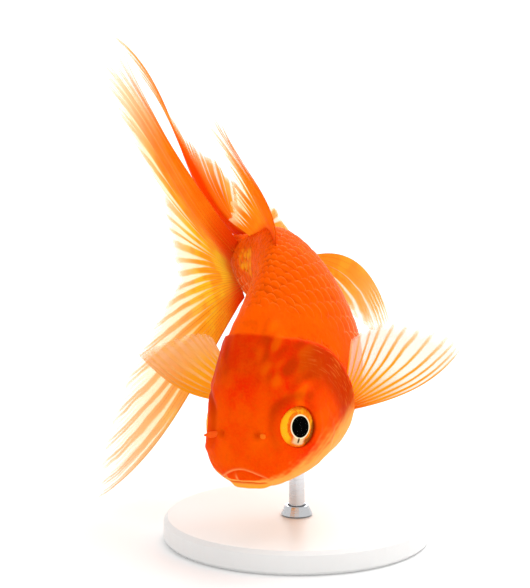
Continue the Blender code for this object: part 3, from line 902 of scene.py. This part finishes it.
# %% Scale rows
FIRST_ROW, LAST_ROW, ROW_PITCH = 15.0, 62.0, 1.42
PITCH_SHARES = ((27, 45, 62), (1.0, 1.0, 0.82))
SCALE_LENGTH, SCALE_WIDTH, SCALE_THICKNESS = 2.35, 1.12, 0.05
# from station, to station, scales in a row
SCALE_BANDS = ((0, 44, 36), (44, 52, 30), (52, 58, 24), (58, 66, 18))
LONG_CELLS, WIDE_CELLS = 5, 6
HALF_PATCH, SCALE_SEED = 0.0015, 11
# how deep a root is sunk, how much deeper behind the head, how far a free edge stands, and its crown
ROOT_SINK, HEAD_SINK, EDGE_RISE, CROWN_RISE = 0.07, 0.12, 0.14, 0.05


def scale_rows():
    """(root station, centre angle, half angle) of every scale."""
    rows, s, row = [], FIRST_ROW, 0
    while s < LAST_ROW:
        count = next(n for low, high, n in SCALE_BANDS if low <= s < high)
        for k in range(count):
            centre = 2 * pi * (k + 0.5 * (row % 2)) / count
            if s > RIM_LINE(folded(centre)) - 0.5:
                rows.append((s, centre, SCALE_WIDTH * pi / count))
        s += ROW_PITCH * float(np.interp(s, *PITCH_SHARES))
        row += 1
    return rows


# %% Laying the scales
rng = np.random.default_rng(SCALE_SEED)
scales = bmesh.new()
plate_map = scales.loops.layers.uv.new("plate")
patch_map = scales.loops.layers.uv.new("OFBake")
for s, centre, half in scale_rows():
    made = bmesh.ops.create_grid(scales, x_segments=LONG_CELLS, y_segments=WIDE_CELLS, size=1)["verts"]
    p, q, _ = coords(made).T
    # the square grid becomes round, from root to free edge and from side to side
    along, across = p * np.sqrt(1 - q * q / 2), q * np.sqrt(1 - p * p / 2)
    back_share = (along + 1) / 2
    st = np.clip(s + SCALE_LENGTH * rng.uniform(0.95, 1.05) * back_share, 0, BODY_END - 0.05)
    behind = s - RIM_LINE(folded(centre))
    stands = 0.15 + 0.85 * rising(0.0, 9.0, behind)
    tilt = (EDGE_RISE * stands + 0.02) * back_share + CROWN_RISE * (1 - across ** 2) * back_share * stands
    lift = tilt - ROOT_SINK - HEAD_SINK * rising(5.0, 1.0, behind) + rng.uniform(-0.010, 0.010)
    set_coords(made, skin_point(st, centre + half * across, lift))
    seat = dict(zip(made, zip(along, across)))
    for face in {f for v in made for f in v.link_faces}:
        for loop in face.loops:
            a, b = seat[loop.vert]
            loop[plate_map].uv = (0.5 + b / 2, 0.5 + a / 2)
            loop[patch_map].uv = (s / BODY_END + HALF_PATCH * a, centre / (2 * pi) + HALF_PATCH * b)
print(len(scales.verts) // ((LONG_CELLS + 1) * (WIDE_CELLS + 1)), "scales")
bmesh.ops.recalc_face_normals(scales, faces=scales.faces)
bmesh.ops.solidify(scales, geom=scales.faces[:], thickness=SCALE_THICKNESS)

# %% Scale paint
EDGE_GLINT, FLANK_GLINT = (1.0, 0.30, 0.05), (1.0, 0.50, 0.22)
RIB_COUNT = 42


def scale_paint():
    """Tints of the skin, painted shade at each scale's root, painted glints on the free edge and fine ribs that
    fan out from the root.
    """
    paint = Paint("scale_gloss", Specular_IOR_Level=0.008, Subsurface_Weight=0.06, Subsurface_Scale=0.0008,
                  Subsurface_Radius=(1.0, 0.3, 0.1))
    across, along = paint.map_uv("plate")
    side, front = paint.math("SUBTRACT", across, 0.5), paint.math("SUBTRACT", along, 0.5)
    rim = paint.times(paint.step(paint.length(side, front), 0.40, 0.49), paint.step(along, 0.55, 0.75))
    behind = paint.step(paint.attribute("from_rim"), 0.0, 11.0, 0.12, 1.0)
    cloud = paint.step(paint.noise(0.004, 2), 0.35, 0.65, 0.10, 0.38)
    glint = paint.step(paint.noise(0.0025, 3), 0.45, 0.62, 0.06, 0.34)
    sparkle = paint.step(paint.noise(0.0018, 3), 0.44, 0.60, 0.15, 0.9)
    flank = paint.within(paint.attribute("degrees"), -48, -24, 2, 22)
    # painted shade at the root of each scale, where the row in front overlaps it
    colour = paint.tint(tinted(paint), DEEP_RED, paint.step(along, 0.66, 0.42), cloud, behind)
    # painted glint on the free edge
    colour = paint.tint(colour, EDGE_GLINT, rim, glint, behind)
    # painted glints on the free edges along the flank
    colour = paint.tint(colour, FLANK_GLINT, flank, behind, sparkle, rim)
    ribs = paint.math("SINE", paint.times(paint.math("ARCTAN2", side, along), RIB_COUNT))
    height = paint.math("ADD", paint.times(ribs, 0.12), paint.noise(0.0006, 2))
    return paint.finish(colour, paint.math("MULTIPLY_ADD", rim, -0.08, 0.34), paint.bump(height, 0.00006))


spots = coords(scales.verts)
place(scales.verts, spots)
finish_piece("body_scales", scales, scale_paint(),
             attributes=markings(spots, *nearest_param(spots)), turned=True)

# %% [markdown]
# ## Fins
#
# A fin is a fan of bony rays with a film between them. Each ray starts at the root, leaves it at
# one angle, bends through a second and ends at a third; the rows below hold these for a few rays,
# and the others are read off between them. The sheet is a grid extruded onto its own back, thick
# over a ray and thin over the film, and the paint splits the rays into finer ones on the way out.

# %% Guide rays of each fin
TAIL_STATION, PECTORAL_BASE = 61.0, (-26.0, 10.8, -4.5)
# root offsets (along, outward, up), then (rise, splay) in degrees at the root, middle and tip, and the length
TAIL_RIGHT = [
    (-2.8, 1.4, 19.8, 58, -5, 94, 12, 47, -28, 53),
    (-2.3, 2.4, 18.5, 50, -3, 91, 9, 42, -10, 53),
    (-1.6, 3, 16.8, 46, 4, 62, -10, 32, -9, 43.5),
    (-1.1, 3, 14.2, 24, -8, 34, -12, 44, -14, 24.5),
    (-0.8, 3, 12.6, 6, -12, 4, -12, 0, -10, 22.5),
    (-0.6, 3, 11, -10, -14, -20, -4, -28, 4, 24),
    (-0.4, 3, 9.2, -26, -8, -32, 14, -32, 28, 35),
    (-0.2, 3, 7.4, -42, 20, -45, 36, -36, 44, 49),
    (0, 3, 5.8, -54, 42, -60, 50, -20, 50, 53.5),
]
TAIL_LEFT = [
    (-2.2, 3.1, 14.2, 13, 0, 90, 3, 27, 3, 58),
    (-1.9, 3.1, 16.4, 36, -6, 78, 1, 86, 2, 29),
    (-1.5, 3.1, 17.5, 24, 9, 64, 15, 78, 11, 20),
    (-1.2, 3, 16.4, 17, 6, 56, 34, 44, 30, 17.5),
    (-1.1, 3, 14.8, 14, 27, 12, 46, 13, 52, 18),
    (-0.8, 3, 12.6, 0, 52, -26, 61, -32, 48, 22),
    (-0.6, 3, 10.6, -22, 57, -62, 48, -88, 12, 33),
    (-0.4, 3, 8.4, -62, 59, -88, 38, -96, -14, 46),
    (-0.2, 3, 6.4, -86, 70, -81, 45, -105, -21, 54.5),
]
PECTORAL_LEFT = [
    (0, 0, 0, -5, 70, -4, 41, 18, 20, 26.2),
    (0, 0, 1, 4, 58, 6, 40, 20, 24, 25),
    (-0.5, 0, 2, 20, 44, 24, 30, 26, 20, 20.5),
    (-1, 0, 3, 38, 30, 40, 20, 42, 14, 17),
    (-1.5, 0, 4, 58, 20, 58, 13, 56, 8, 12.5),
]
PECTORAL_RIGHT = [
    (0, 0, 0, 16, 88, 36, 76, 87, 30, 31),
    (0, 0, 1, 10, 80, 32, 71, 68, 44, 28.3),
    (-0.5, 0, 2, 22, 64, 36, 58, 46, 50, 23),
    (-1, 0, 3, 36, 52, 44, 46, 50, 40, 18),
    (-1.5, 0, 4, 50, 40, 52, 36, 54, 32, 14),
]
PELVIC_STATION, PELVIC_FRAME = 30.0, 38.0
PELVIC = [
    (0, 3.2, 1.0, -24, 14, -12, 8, -4, 4, 17),
    (1.2, 3.2, 1.1, -18, 10, -8, 6, 0, 2, 15),
    (2.4, 3.1, 1.2, -12, 6, -4, 3, 2, 0, 12),
    (3.4, 3.0, 1.3, -6, 2, 0, 0, 4, -2, 9),
]
ANAL_STATION = 51.5
ANAL = [
    (0, 1.9, 1.6, -62, 16, -48, 12, -30, 6, 16),
    (1.3, 1.9, 1.9, -52, 13, -40, 9, -24, 5, 14.5),
    (2.6, 1.8, 2.2, -42, 10, -30, 7, -18, 4, 11.5),
    (3.8, 1.7, 2.6, -30, 7, -20, 5, -12, 3, 8.5),
]
DORSAL_SINK = 1.2
# station on the back, then the same angle pairs and length
DORSAL = [
    (36.3, 33, -17, 72, 20, 36, 6, 33.5),
    (40.5, 52, 2, 70, 13, 20, 32, 28),
    (44.5, 58, 12, 56, 5, 40, 18, 17),
    (48.2, 52, 3, 66, 8, 50, 8, 12.5),
    (52, 52, 2, 58, 6, 50, 6, 9),
    (55, 52, 2, 50, 6, 44, 6, 6.5),
]

# %% From guide rays to a sheet of points
RAY_STEPS = 120


def between_rows(rows, count):
    """Catmull-Rom rows: count of them spread evenly over the fan."""
    rows = np.array(rows, float)
    ends = np.vstack([2 * rows[0] - rows[1], rows, 2 * rows[-1] - rows[-2]])
    u = np.linspace(0, len(rows) - 1, count)
    i = np.minimum(u.astype(int), len(rows) - 2)
    t = (u - i)[:, None]
    a, b, c, d = (ends[i + k] for k in range(4))
    return 0.5 * (2 * b + (c - a) * t + (2 * a - 5 * b + 4 * c - d) * t * t + (3 * b - a - 3 * c + d) * t ** 3)


def ray_points(roots, angles, lengths, along, out, count):
    """(ray, place along it, xyz) for all rays at once; along and out are one direction per ray."""
    rise0, splay0, rise1, splay1, rise2, splay2 = np.radians(angles).T[:, :, None]
    v = (np.arange(RAY_STEPS) + 0.5)[None] / RAY_STEPS
    a, b, c = (1 - v) * (1 - 2 * v), 4 * v * (1 - v), v * (2 * v - 1)
    rise, splay = a * rise0 + b * rise1 + c * rise2, a * splay0 + b * splay1 + c * splay2
    flat, high = np.cos(rise) * np.cos(splay), np.sin(rise) * np.cos(splay)
    way = along[:, None] * flat[..., None] + out[:, None] * np.sin(splay)[..., None] + UP * high[..., None]
    steps = np.concatenate([np.zeros_like(way[:, :1]), np.cumsum(way, 1)], 1)
    steps *= (lengths / RAY_STEPS)[:, None, None]
    reach = np.linspace(0, RAY_STEPS, count)
    k = np.minimum(reach.astype(int), RAY_STEPS - 1)
    t = (reach - k)[None, :, None]
    return roots[:, None] + steps[:, k] * (1 - t) + steps[:, k + 1] * t


def fan(rows, origin, station_at, side):
    """The sheet of a fin that grows from one place, as a function of the points across and outward."""
    along, out = backward(station_at), leftward(station_at) * side

    def sheet(across, outward):
        table = between_rows(rows, across)
        roots = np.asarray(origin) + table[:, :1] * along + table[:, 1:2] * out + table[:, 2:3] * UP
        spread = np.ones((across, 1))
        return ray_points(roots, table[:, 3:9], table[:, 9], along * spread, out * spread, outward)
    return sheet


def dorsal_sheet(across, outward):
    """The sheet of the dorsal fin, whose rays stand along the back."""
    table = between_rows(DORSAL, across)
    s = table[:, 0]
    roots = skin_point(s, np.full(across, pi / 2)) - UP * DORSAL_SINK
    return ray_points(roots, table[:, 1:7], table[:, 7], backward(s), -leftward(s), outward)


# %% Rays and frayed tips
FILM_THICKNESS, RAY_THICKNESS, RAY_WIDTH = 0.10, 0.16, 0.25


def fin_piece(name, sheet_of, paint, rays, replaces, per_ray=8, outward=80, seed=1, frays=((0, 0.06), (1, 0.06)),
              pleat=0.25):
    """A closed fin: a grid and its extruded copy, back to back; frays says how deep the margin is split."""
    across = (rays - 1) * per_ray + 1
    rng = np.random.default_rng(seed)
    mid = sheet_of(across, 2 * outward)
    u, v = np.linspace(0, 1, across)[:, None], np.linspace(0, 1, outward)[None]
    # shorten the rays, each by its own share, and split the film between them
    fray = np.interp(u[:, 0], *np.transpose(frays))
    ray = u[:, 0] * (rays - 1) + 0.5
    short = rng.uniform(0, 1, rays + 1) * (np.arange(rays + 1) % (rays - 1) > 0)
    gap = np.abs(ray % 1 - 0.5) * 2
    reach = 1 - fray * (0.6 * short[ray.astype(int)] + gap ** 1.2)
    place_out = (v * reach[:, None]) * (mid.shape[1] - 1)
    k = np.minimum(place_out.astype(int), mid.shape[1] - 2)
    t = (place_out - k)[..., None]
    rows = np.arange(across)[:, None]
    sheet = mid[rows, k] * (1 - t) + mid[rows, k + 1] * t
    # pleat the sheet and give it a thickness
    normal = np.cross(np.gradient(sheet, axis=0), np.gradient(sheet, axis=1))
    normal /= np.maximum(np.linalg.norm(normal, axis=2, keepdims=True), 1e-9)
    phase = rng.uniform(0, 2 * pi, 2)
    turn = 2 * pi * rays * u
    wave = np.sin(turn / 3 + phase[0] + 1.5 * v) + 0.6 * np.sin(turn / 1.6 + phase[1] - v)
    sheet = sheet + normal * (pleat * wave * rising(0.1, 0.8, v))[..., None]
    bone = hump(ray[:, None] % 1 - 0.5, RAY_WIDTH - 0.12 * v)
    thick = FILM_THICKNESS * (1 - 0.6 * v) + RAY_THICKNESS * bone * (1 - 0.8 * v)
    bm = bmesh.new()
    ray_map, bake_map = bm.loops.layers.uv.new("rays"), bm.loops.layers.uv.new("OFBake")
    front = bmesh.ops.create_grid(bm, x_segments=across - 1, y_segments=outward - 1, size=0.5)["verts"]
    copied = bmesh.ops.extrude_face_region(bm, geom=bm.faces[:], use_keep_orig=True)["geom"]
    rear = [g for g in copied if isinstance(g, bmesh.types.BMVert)]
    seat = {}
    for made, face_side, part in ((front, 0.5, 0.0), (rear, -0.5, 0.5)):
        square = coords(made) + 0.5
        i, j = np.rint(square[:, 0] * (across - 1)).astype(int), np.rint(square[:, 1] * (outward - 1)).astype(int)
        place(made, sheet[i, j] + normal[i, j] * (face_side * thick[i, j])[:, None])
        seat.update((vert, (a, b, part)) for vert, (a, b, _) in zip(made, square))
    for face in bm.faces:
        part = seat[face.verts[0]][2]
        for loop in face.loops:
            a, b, _ = seat[loop.vert]
            loop[ray_map].uv = (a, b)
            loop[bake_map].uv = (0.01 + part + 0.48 * a, 0.01 + 0.98 * b)
    finish_piece(name, bm, paint, replaces)


# %% [markdown]
# ## Fin paint
#
# Colour and clearness of a fin follow its rays, so the paint reads the "rays" map: u counts the
# rays across the fan and v runs from root to tip. Every ray is an orange band that narrows outwards
# and the film between clears from amber to nothing. Light passes through both, so half of the
# shading is translucent, which is what makes a fin glow against a bright background.

# %% Fin paint
FIN_RED, FIN_ORANGE, FIN_AMBER = (0.90, 0.09, 0.0004), (0.98, 0.25, 0.001), (0.98, 0.44, 0.02)
FIN_PALE, FIN_DEEP_PALE = (0.98, 0.66, 0.36), (0.98, 0.50, 0.10)
FIN_GOLD, GROOVE_RED = (0.99, 0.68, 0.030), (0.62, 0.06, 0.0008)
FILM_GOLD, FILM_CREAM, FILM_WHITE = (0.99, 0.66, 0.04), (0.99, 0.86, 0.56), (0.99, 0.82, 0.66)
FILM_PEACH, FILM_AMBER, FILM_HONEY = (0.98, 0.52, 0.10), (0.99, 0.62, 0.12), (0.98, 0.60, 0.20)


def fin_paint(name, rays, root, middle, tip, band=(0.62, 0.20), opens=(0.25, 0.95), film_clears=(0.45, 0.95),
              film_alpha=(1.0, 0.12), ray_alpha=(1.0, 0.75), lines=0.5, gold=(0.0, 0.0), frayed=(0.70, 1.0),
              lobes=((0.22, 0.36), (0.66, 0.80)), hold=(0.0, 0.0), film_tones=(FILM_GOLD, FILM_CREAM),
              pale_low=0.0, reddens=0.26):
    """Orange bands that narrow outwards on a film that clears towards the margin.

    Pairs say how a value starts and ends: a band's width, where bands open and the film clears, how
    solid film and rays are, where the tips fray. gold says how amber the upper and lower halves are;
    hold keeps the two lobes closed for longer.
    """
    paint = Paint(name, Specular_IOR_Level=0.03, Roughness=0.5)
    u, v = paint.map_uv("rays")
    sway = paint.math("MULTIPLY_ADD", paint.noise(0.007, 2), 0.5, -0.25)
    count = paint.math("MULTIPLY_ADD", u, rays - 1, paint.math("MULTIPLY_ADD", sway, v, 0.5))
    chance = paint.add("TexWhiteNoise", {"W": paint.math("FLOOR", count)}, noise_dimensions="1D").outputs["Value"]
    # where the rays are: wide bands near the root, held closed for longer on the lobes
    leading = paint.math("ADD", paint.step(u, 0.16, 0.05), paint.step(u, 0.92, 0.97))
    upper, lower = paint.step(u, lobes[0][1], lobes[0][0]), paint.step(u, *lobes[1])
    held = paint.math("MULTIPLY_ADD", upper, hold[0], paint.times(lower, hold[1]))
    out = paint.math("SUBTRACT", v, held)
    wide = paint.times(paint.step(out, *opens, *band), paint.math("MULTIPLY_ADD", chance, 0.4, 0.8))
    wide = paint.math("MULTIPLY_ADD", leading, 0.15, wide)
    bone = paint.step(paint.math("SUBTRACT", paint.from_middle(count), wide), 0.10, -0.07)
    # thin dark grooves between a ray's own strands, broken by its joints
    groove = paint.step(paint.from_middle(paint.times(count, 2.0)), 0.35, 0.47)
    joints = paint.math("MULTIPLY_ADD", paint.math("SINE", paint.times(v, 400)), 0.3, 0.7)
    groove = paint.times(groove, joints, paint.step(v, 0.85, 0.1))
    # colour of the rays, then of the film between them
    colour = paint.blend(paint.step(v, 0.0, reddens), root, middle)
    patch = paint.step(paint.noise(0.005, 2), 0.40, 0.62, 0.60, 1.0)
    colour = paint.tint(colour, FIN_GOLD, paint.step(u, 0.18, 0.42, *gold), patch, paint.step(v, 0.02, 0.25))
    colour = paint.tint(colour, tip, paint.step(v, 0.56, 0.98))
    colour = paint.tint(colour, tip, lower, pale_low, paint.step(v, 0.30, 0.75))
    colour = paint.tint(colour, GROOVE_RED, groove, lines)
    colour = paint.blend(bone, paint.blend(paint.step(out, 0.15, 0.60), *film_tones), colour)
    # how solid both are, with split strands at the lobes' tips and a ragged margin
    film = paint.step(out, *film_clears, *film_alpha)
    solid = paint.step(v, 0.60, 1.0, *ray_alpha)
    alpha = paint.math("MULTIPLY_ADD", bone, paint.math("SUBTRACT", solid, film), film)
    strand = paint.step(paint.from_middle(paint.times(count, 4.0)), 0.42, 0.20)
    on_lobes = paint.math("ADD", upper, lower)
    split = paint.times(paint.step(v, *frayed), paint.math("SUBTRACT", 1, strand), on_lobes)
    ragged = paint.math("MULTIPLY_ADD", paint.noise(0.0016, 2), 0.10, v)
    alpha = paint.times(alpha, paint.math("SUBTRACT", 1, split), paint.step(ragged, 0.93, 1.10, 1, 0.15))
    paint.finish(colour, None, paint.bump(paint.math("MULTIPLY_ADD", groove, -0.5, bone), 0.00008))
    glow = paint.add("BsdfTranslucent", {"Color": colour}).outputs[0]
    clear_film = paint.add("BsdfTransparent", {}).outputs[0]
    return paint.surface(paint.mix(alpha, clear_film, paint.mix(0.5, paint.shader.outputs[0], glow)))


# %% Tail and dorsal fin
TAIL_BANDS = {"opens": (0.12, 0.85), "film_clears": (0.3, 1.0), "lines": 0.7, "frayed": (0.72, 1.05)}
tail_origin = spine(TAIL_STATION)

tail_right_paint = fin_paint(
    "tail_film_right", 26, FIN_RED, FIN_ORANGE, FIN_PALE, film_alpha=(1.0, 0.45), band=(0.56, 0.20),
    gold=(0.22, 1.0), hold=(0.42, 0.0), pale_low=0.8, **TAIL_BANDS)
fin_piece("tail_veil_right", fan(TAIL_RIGHT, tail_origin, TAIL_STATION, -1), tail_right_paint, 26,
          ("tail_fin_right",), seed=2, outward=90,
          frays=((0, 0.12), (0.28, 0.06), (0.36, 0), (0.7, 0), (1, 0.05)))
tail_left_paint = fin_paint(
    "tail_film_left", 20, FIN_RED, FIN_ORANGE, FIN_DEEP_PALE, film_alpha=(1.0, 0.60), band=(0.60, 0.32),
    ray_alpha=(1.0, 0.8), gold=(0.0, 0.60), lobes=((0.13, 0.24), (0.84, 0.97)), hold=(0.50, 0.34),
    film_tones=(FILM_AMBER, FILM_WHITE), pale_low=0.3, reddens=0.22, **TAIL_BANDS)
fin_piece("tail_veil_left", fan(TAIL_LEFT, tail_origin, TAIL_STATION, 1), tail_left_paint, 20,
          ("tail_fin_left",), seed=4, outward=90, frays=((0, 0.06), (0.2, 0.03), (0.3, 0), (1, 0.01)))
dorsal_paint = fin_paint(
    "dorsal_film", 14, FIN_RED, FIN_ORANGE, FIN_PALE, opens=(0.15, 0.9), film_clears=(0.2, 0.9),
    film_alpha=(0.95, 0.35), lobes=((0.16, 0.34), (0.99, 1.0)), hold=(0.22, 0.0), gold=(0.1, 0.5),
    frayed=(0.36, 0.70))
fin_piece("dorsal_sail", dorsal_sheet, dorsal_paint, 14, ("dorsal_fin",),
          frays=((0, 0.22), (0.4, 0.12), (1, 0.08)), seed=6, outward=60)

# %% Paired fins
PAIRED_RAYS, UNFRAYED = 12, (1.0, 1.5)


def on_belly(s):
    return spine(s) + UP * belly_line(s)


pectoral_right_paint = fin_paint(
    "pectoral_film_right", PAIRED_RAYS, FIN_ORANGE, FIN_AMBER, FIN_PALE, band=(0.5, 0.26), opens=(0.0, 0.8),
    film_clears=(0.2, 1.1), film_alpha=(0.95, 0.72), lines=0.1, gold=(0.3, 0.6), frayed=UNFRAYED,
    film_tones=(FILM_GOLD, FILM_HONEY))
paired_paint = fin_paint(
    "paired_fin_film", PAIRED_RAYS, FIN_ORANGE, FIN_AMBER, FIN_PALE, band=(0.34, 0.12), opens=(0.0, 0.6),
    film_clears=(0.0, 0.6), film_alpha=(0.85, 0.45), ray_alpha=(1.0, 0.7), lines=0.1, gold=(0.3, 0.5),
    frayed=UNFRAYED, film_tones=(FILM_PEACH, FILM_WHITE))
for side, label in SIDES:
    rows, paint = (PECTORAL_LEFT, paired_paint) if side > 0 else (PECTORAL_RIGHT, pectoral_right_paint)
    fin_piece("pectoral_veil_" + label, fan(rows, mirrored(PECTORAL_BASE, side), 0.0, side), paint, PAIRED_RAYS,
              ("pectoral_fin_" + label,), seed=8, outward=60, pleat=0.12, frays=((0, 0.012), (1, 0.012)))
    fin_piece("pelvic_veil_" + label, fan(PELVIC, on_belly(PELVIC_STATION), PELVIC_FRAME, side), paired_paint,
              PAIRED_RAYS, ("pelvic_fin_" + label,), per_ray=6, seed=9, outward=44, pleat=0.1)
    fin_piece("anal_veil_" + label, fan(ANAL, on_belly(ANAL_STATION), ANAL_STATION, side), paired_paint,
              PAIRED_RAYS, ("anal_fin_" + label,), per_ray=6, seed=10, outward=44, pleat=0.1)

# %% [markdown]
# ## The stand
#
# The stand is the museum's, so it stays quiet: a satin white foot and a polished steel rod. Their
# solids are already right, so they only get better materials.

# %% Stand paint
WHITE_LOW, WHITE_HIGH, STEEL_GREY = (0.80, 0.80, 0.79), (0.86, 0.86, 0.85), (0.66, 0.67, 0.69)


def satin_white():
    paint = Paint("stand_satin_white", Specular_IOR_Level=0.4)
    cloud = paint.noise(0.02, 3)
    return paint.finish(paint.blend(cloud, WHITE_LOW, WHITE_HIGH), paint.step(cloud, 0.3, 0.7, 0.32, 0.42),
                        paint.bump(paint.noise(0.0006, 2), 0.00001))


def steel():
    """Polished steel, brushed along the rod."""
    paint = Paint("stand_polished_steel", Metallic=1.0)
    grain = paint.add("Mapping", {"Vector": paint.object_place(), "Scale": (0.05, 0.05, 1.0)}).outputs[0]
    lines = paint.noise(0.0004, 3, grain)
    return paint.finish(STEEL_GREY, paint.step(lines, 0.3, 0.7, 0.18, 0.30), paint.bump(lines, 0.000004))


STEEL, SATIN = steel(), satin_white()
for node, look in (("stand_base", SATIN), ("stand_collar", STEEL), ("stand_rod", STEEL)):
    part = frame["nodes"][node]
    part.data.materials.clear()
    part.data.materials.append(look)

low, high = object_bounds()
print("visual size in mm:", [round(x / MM, 1) for x in high - low])
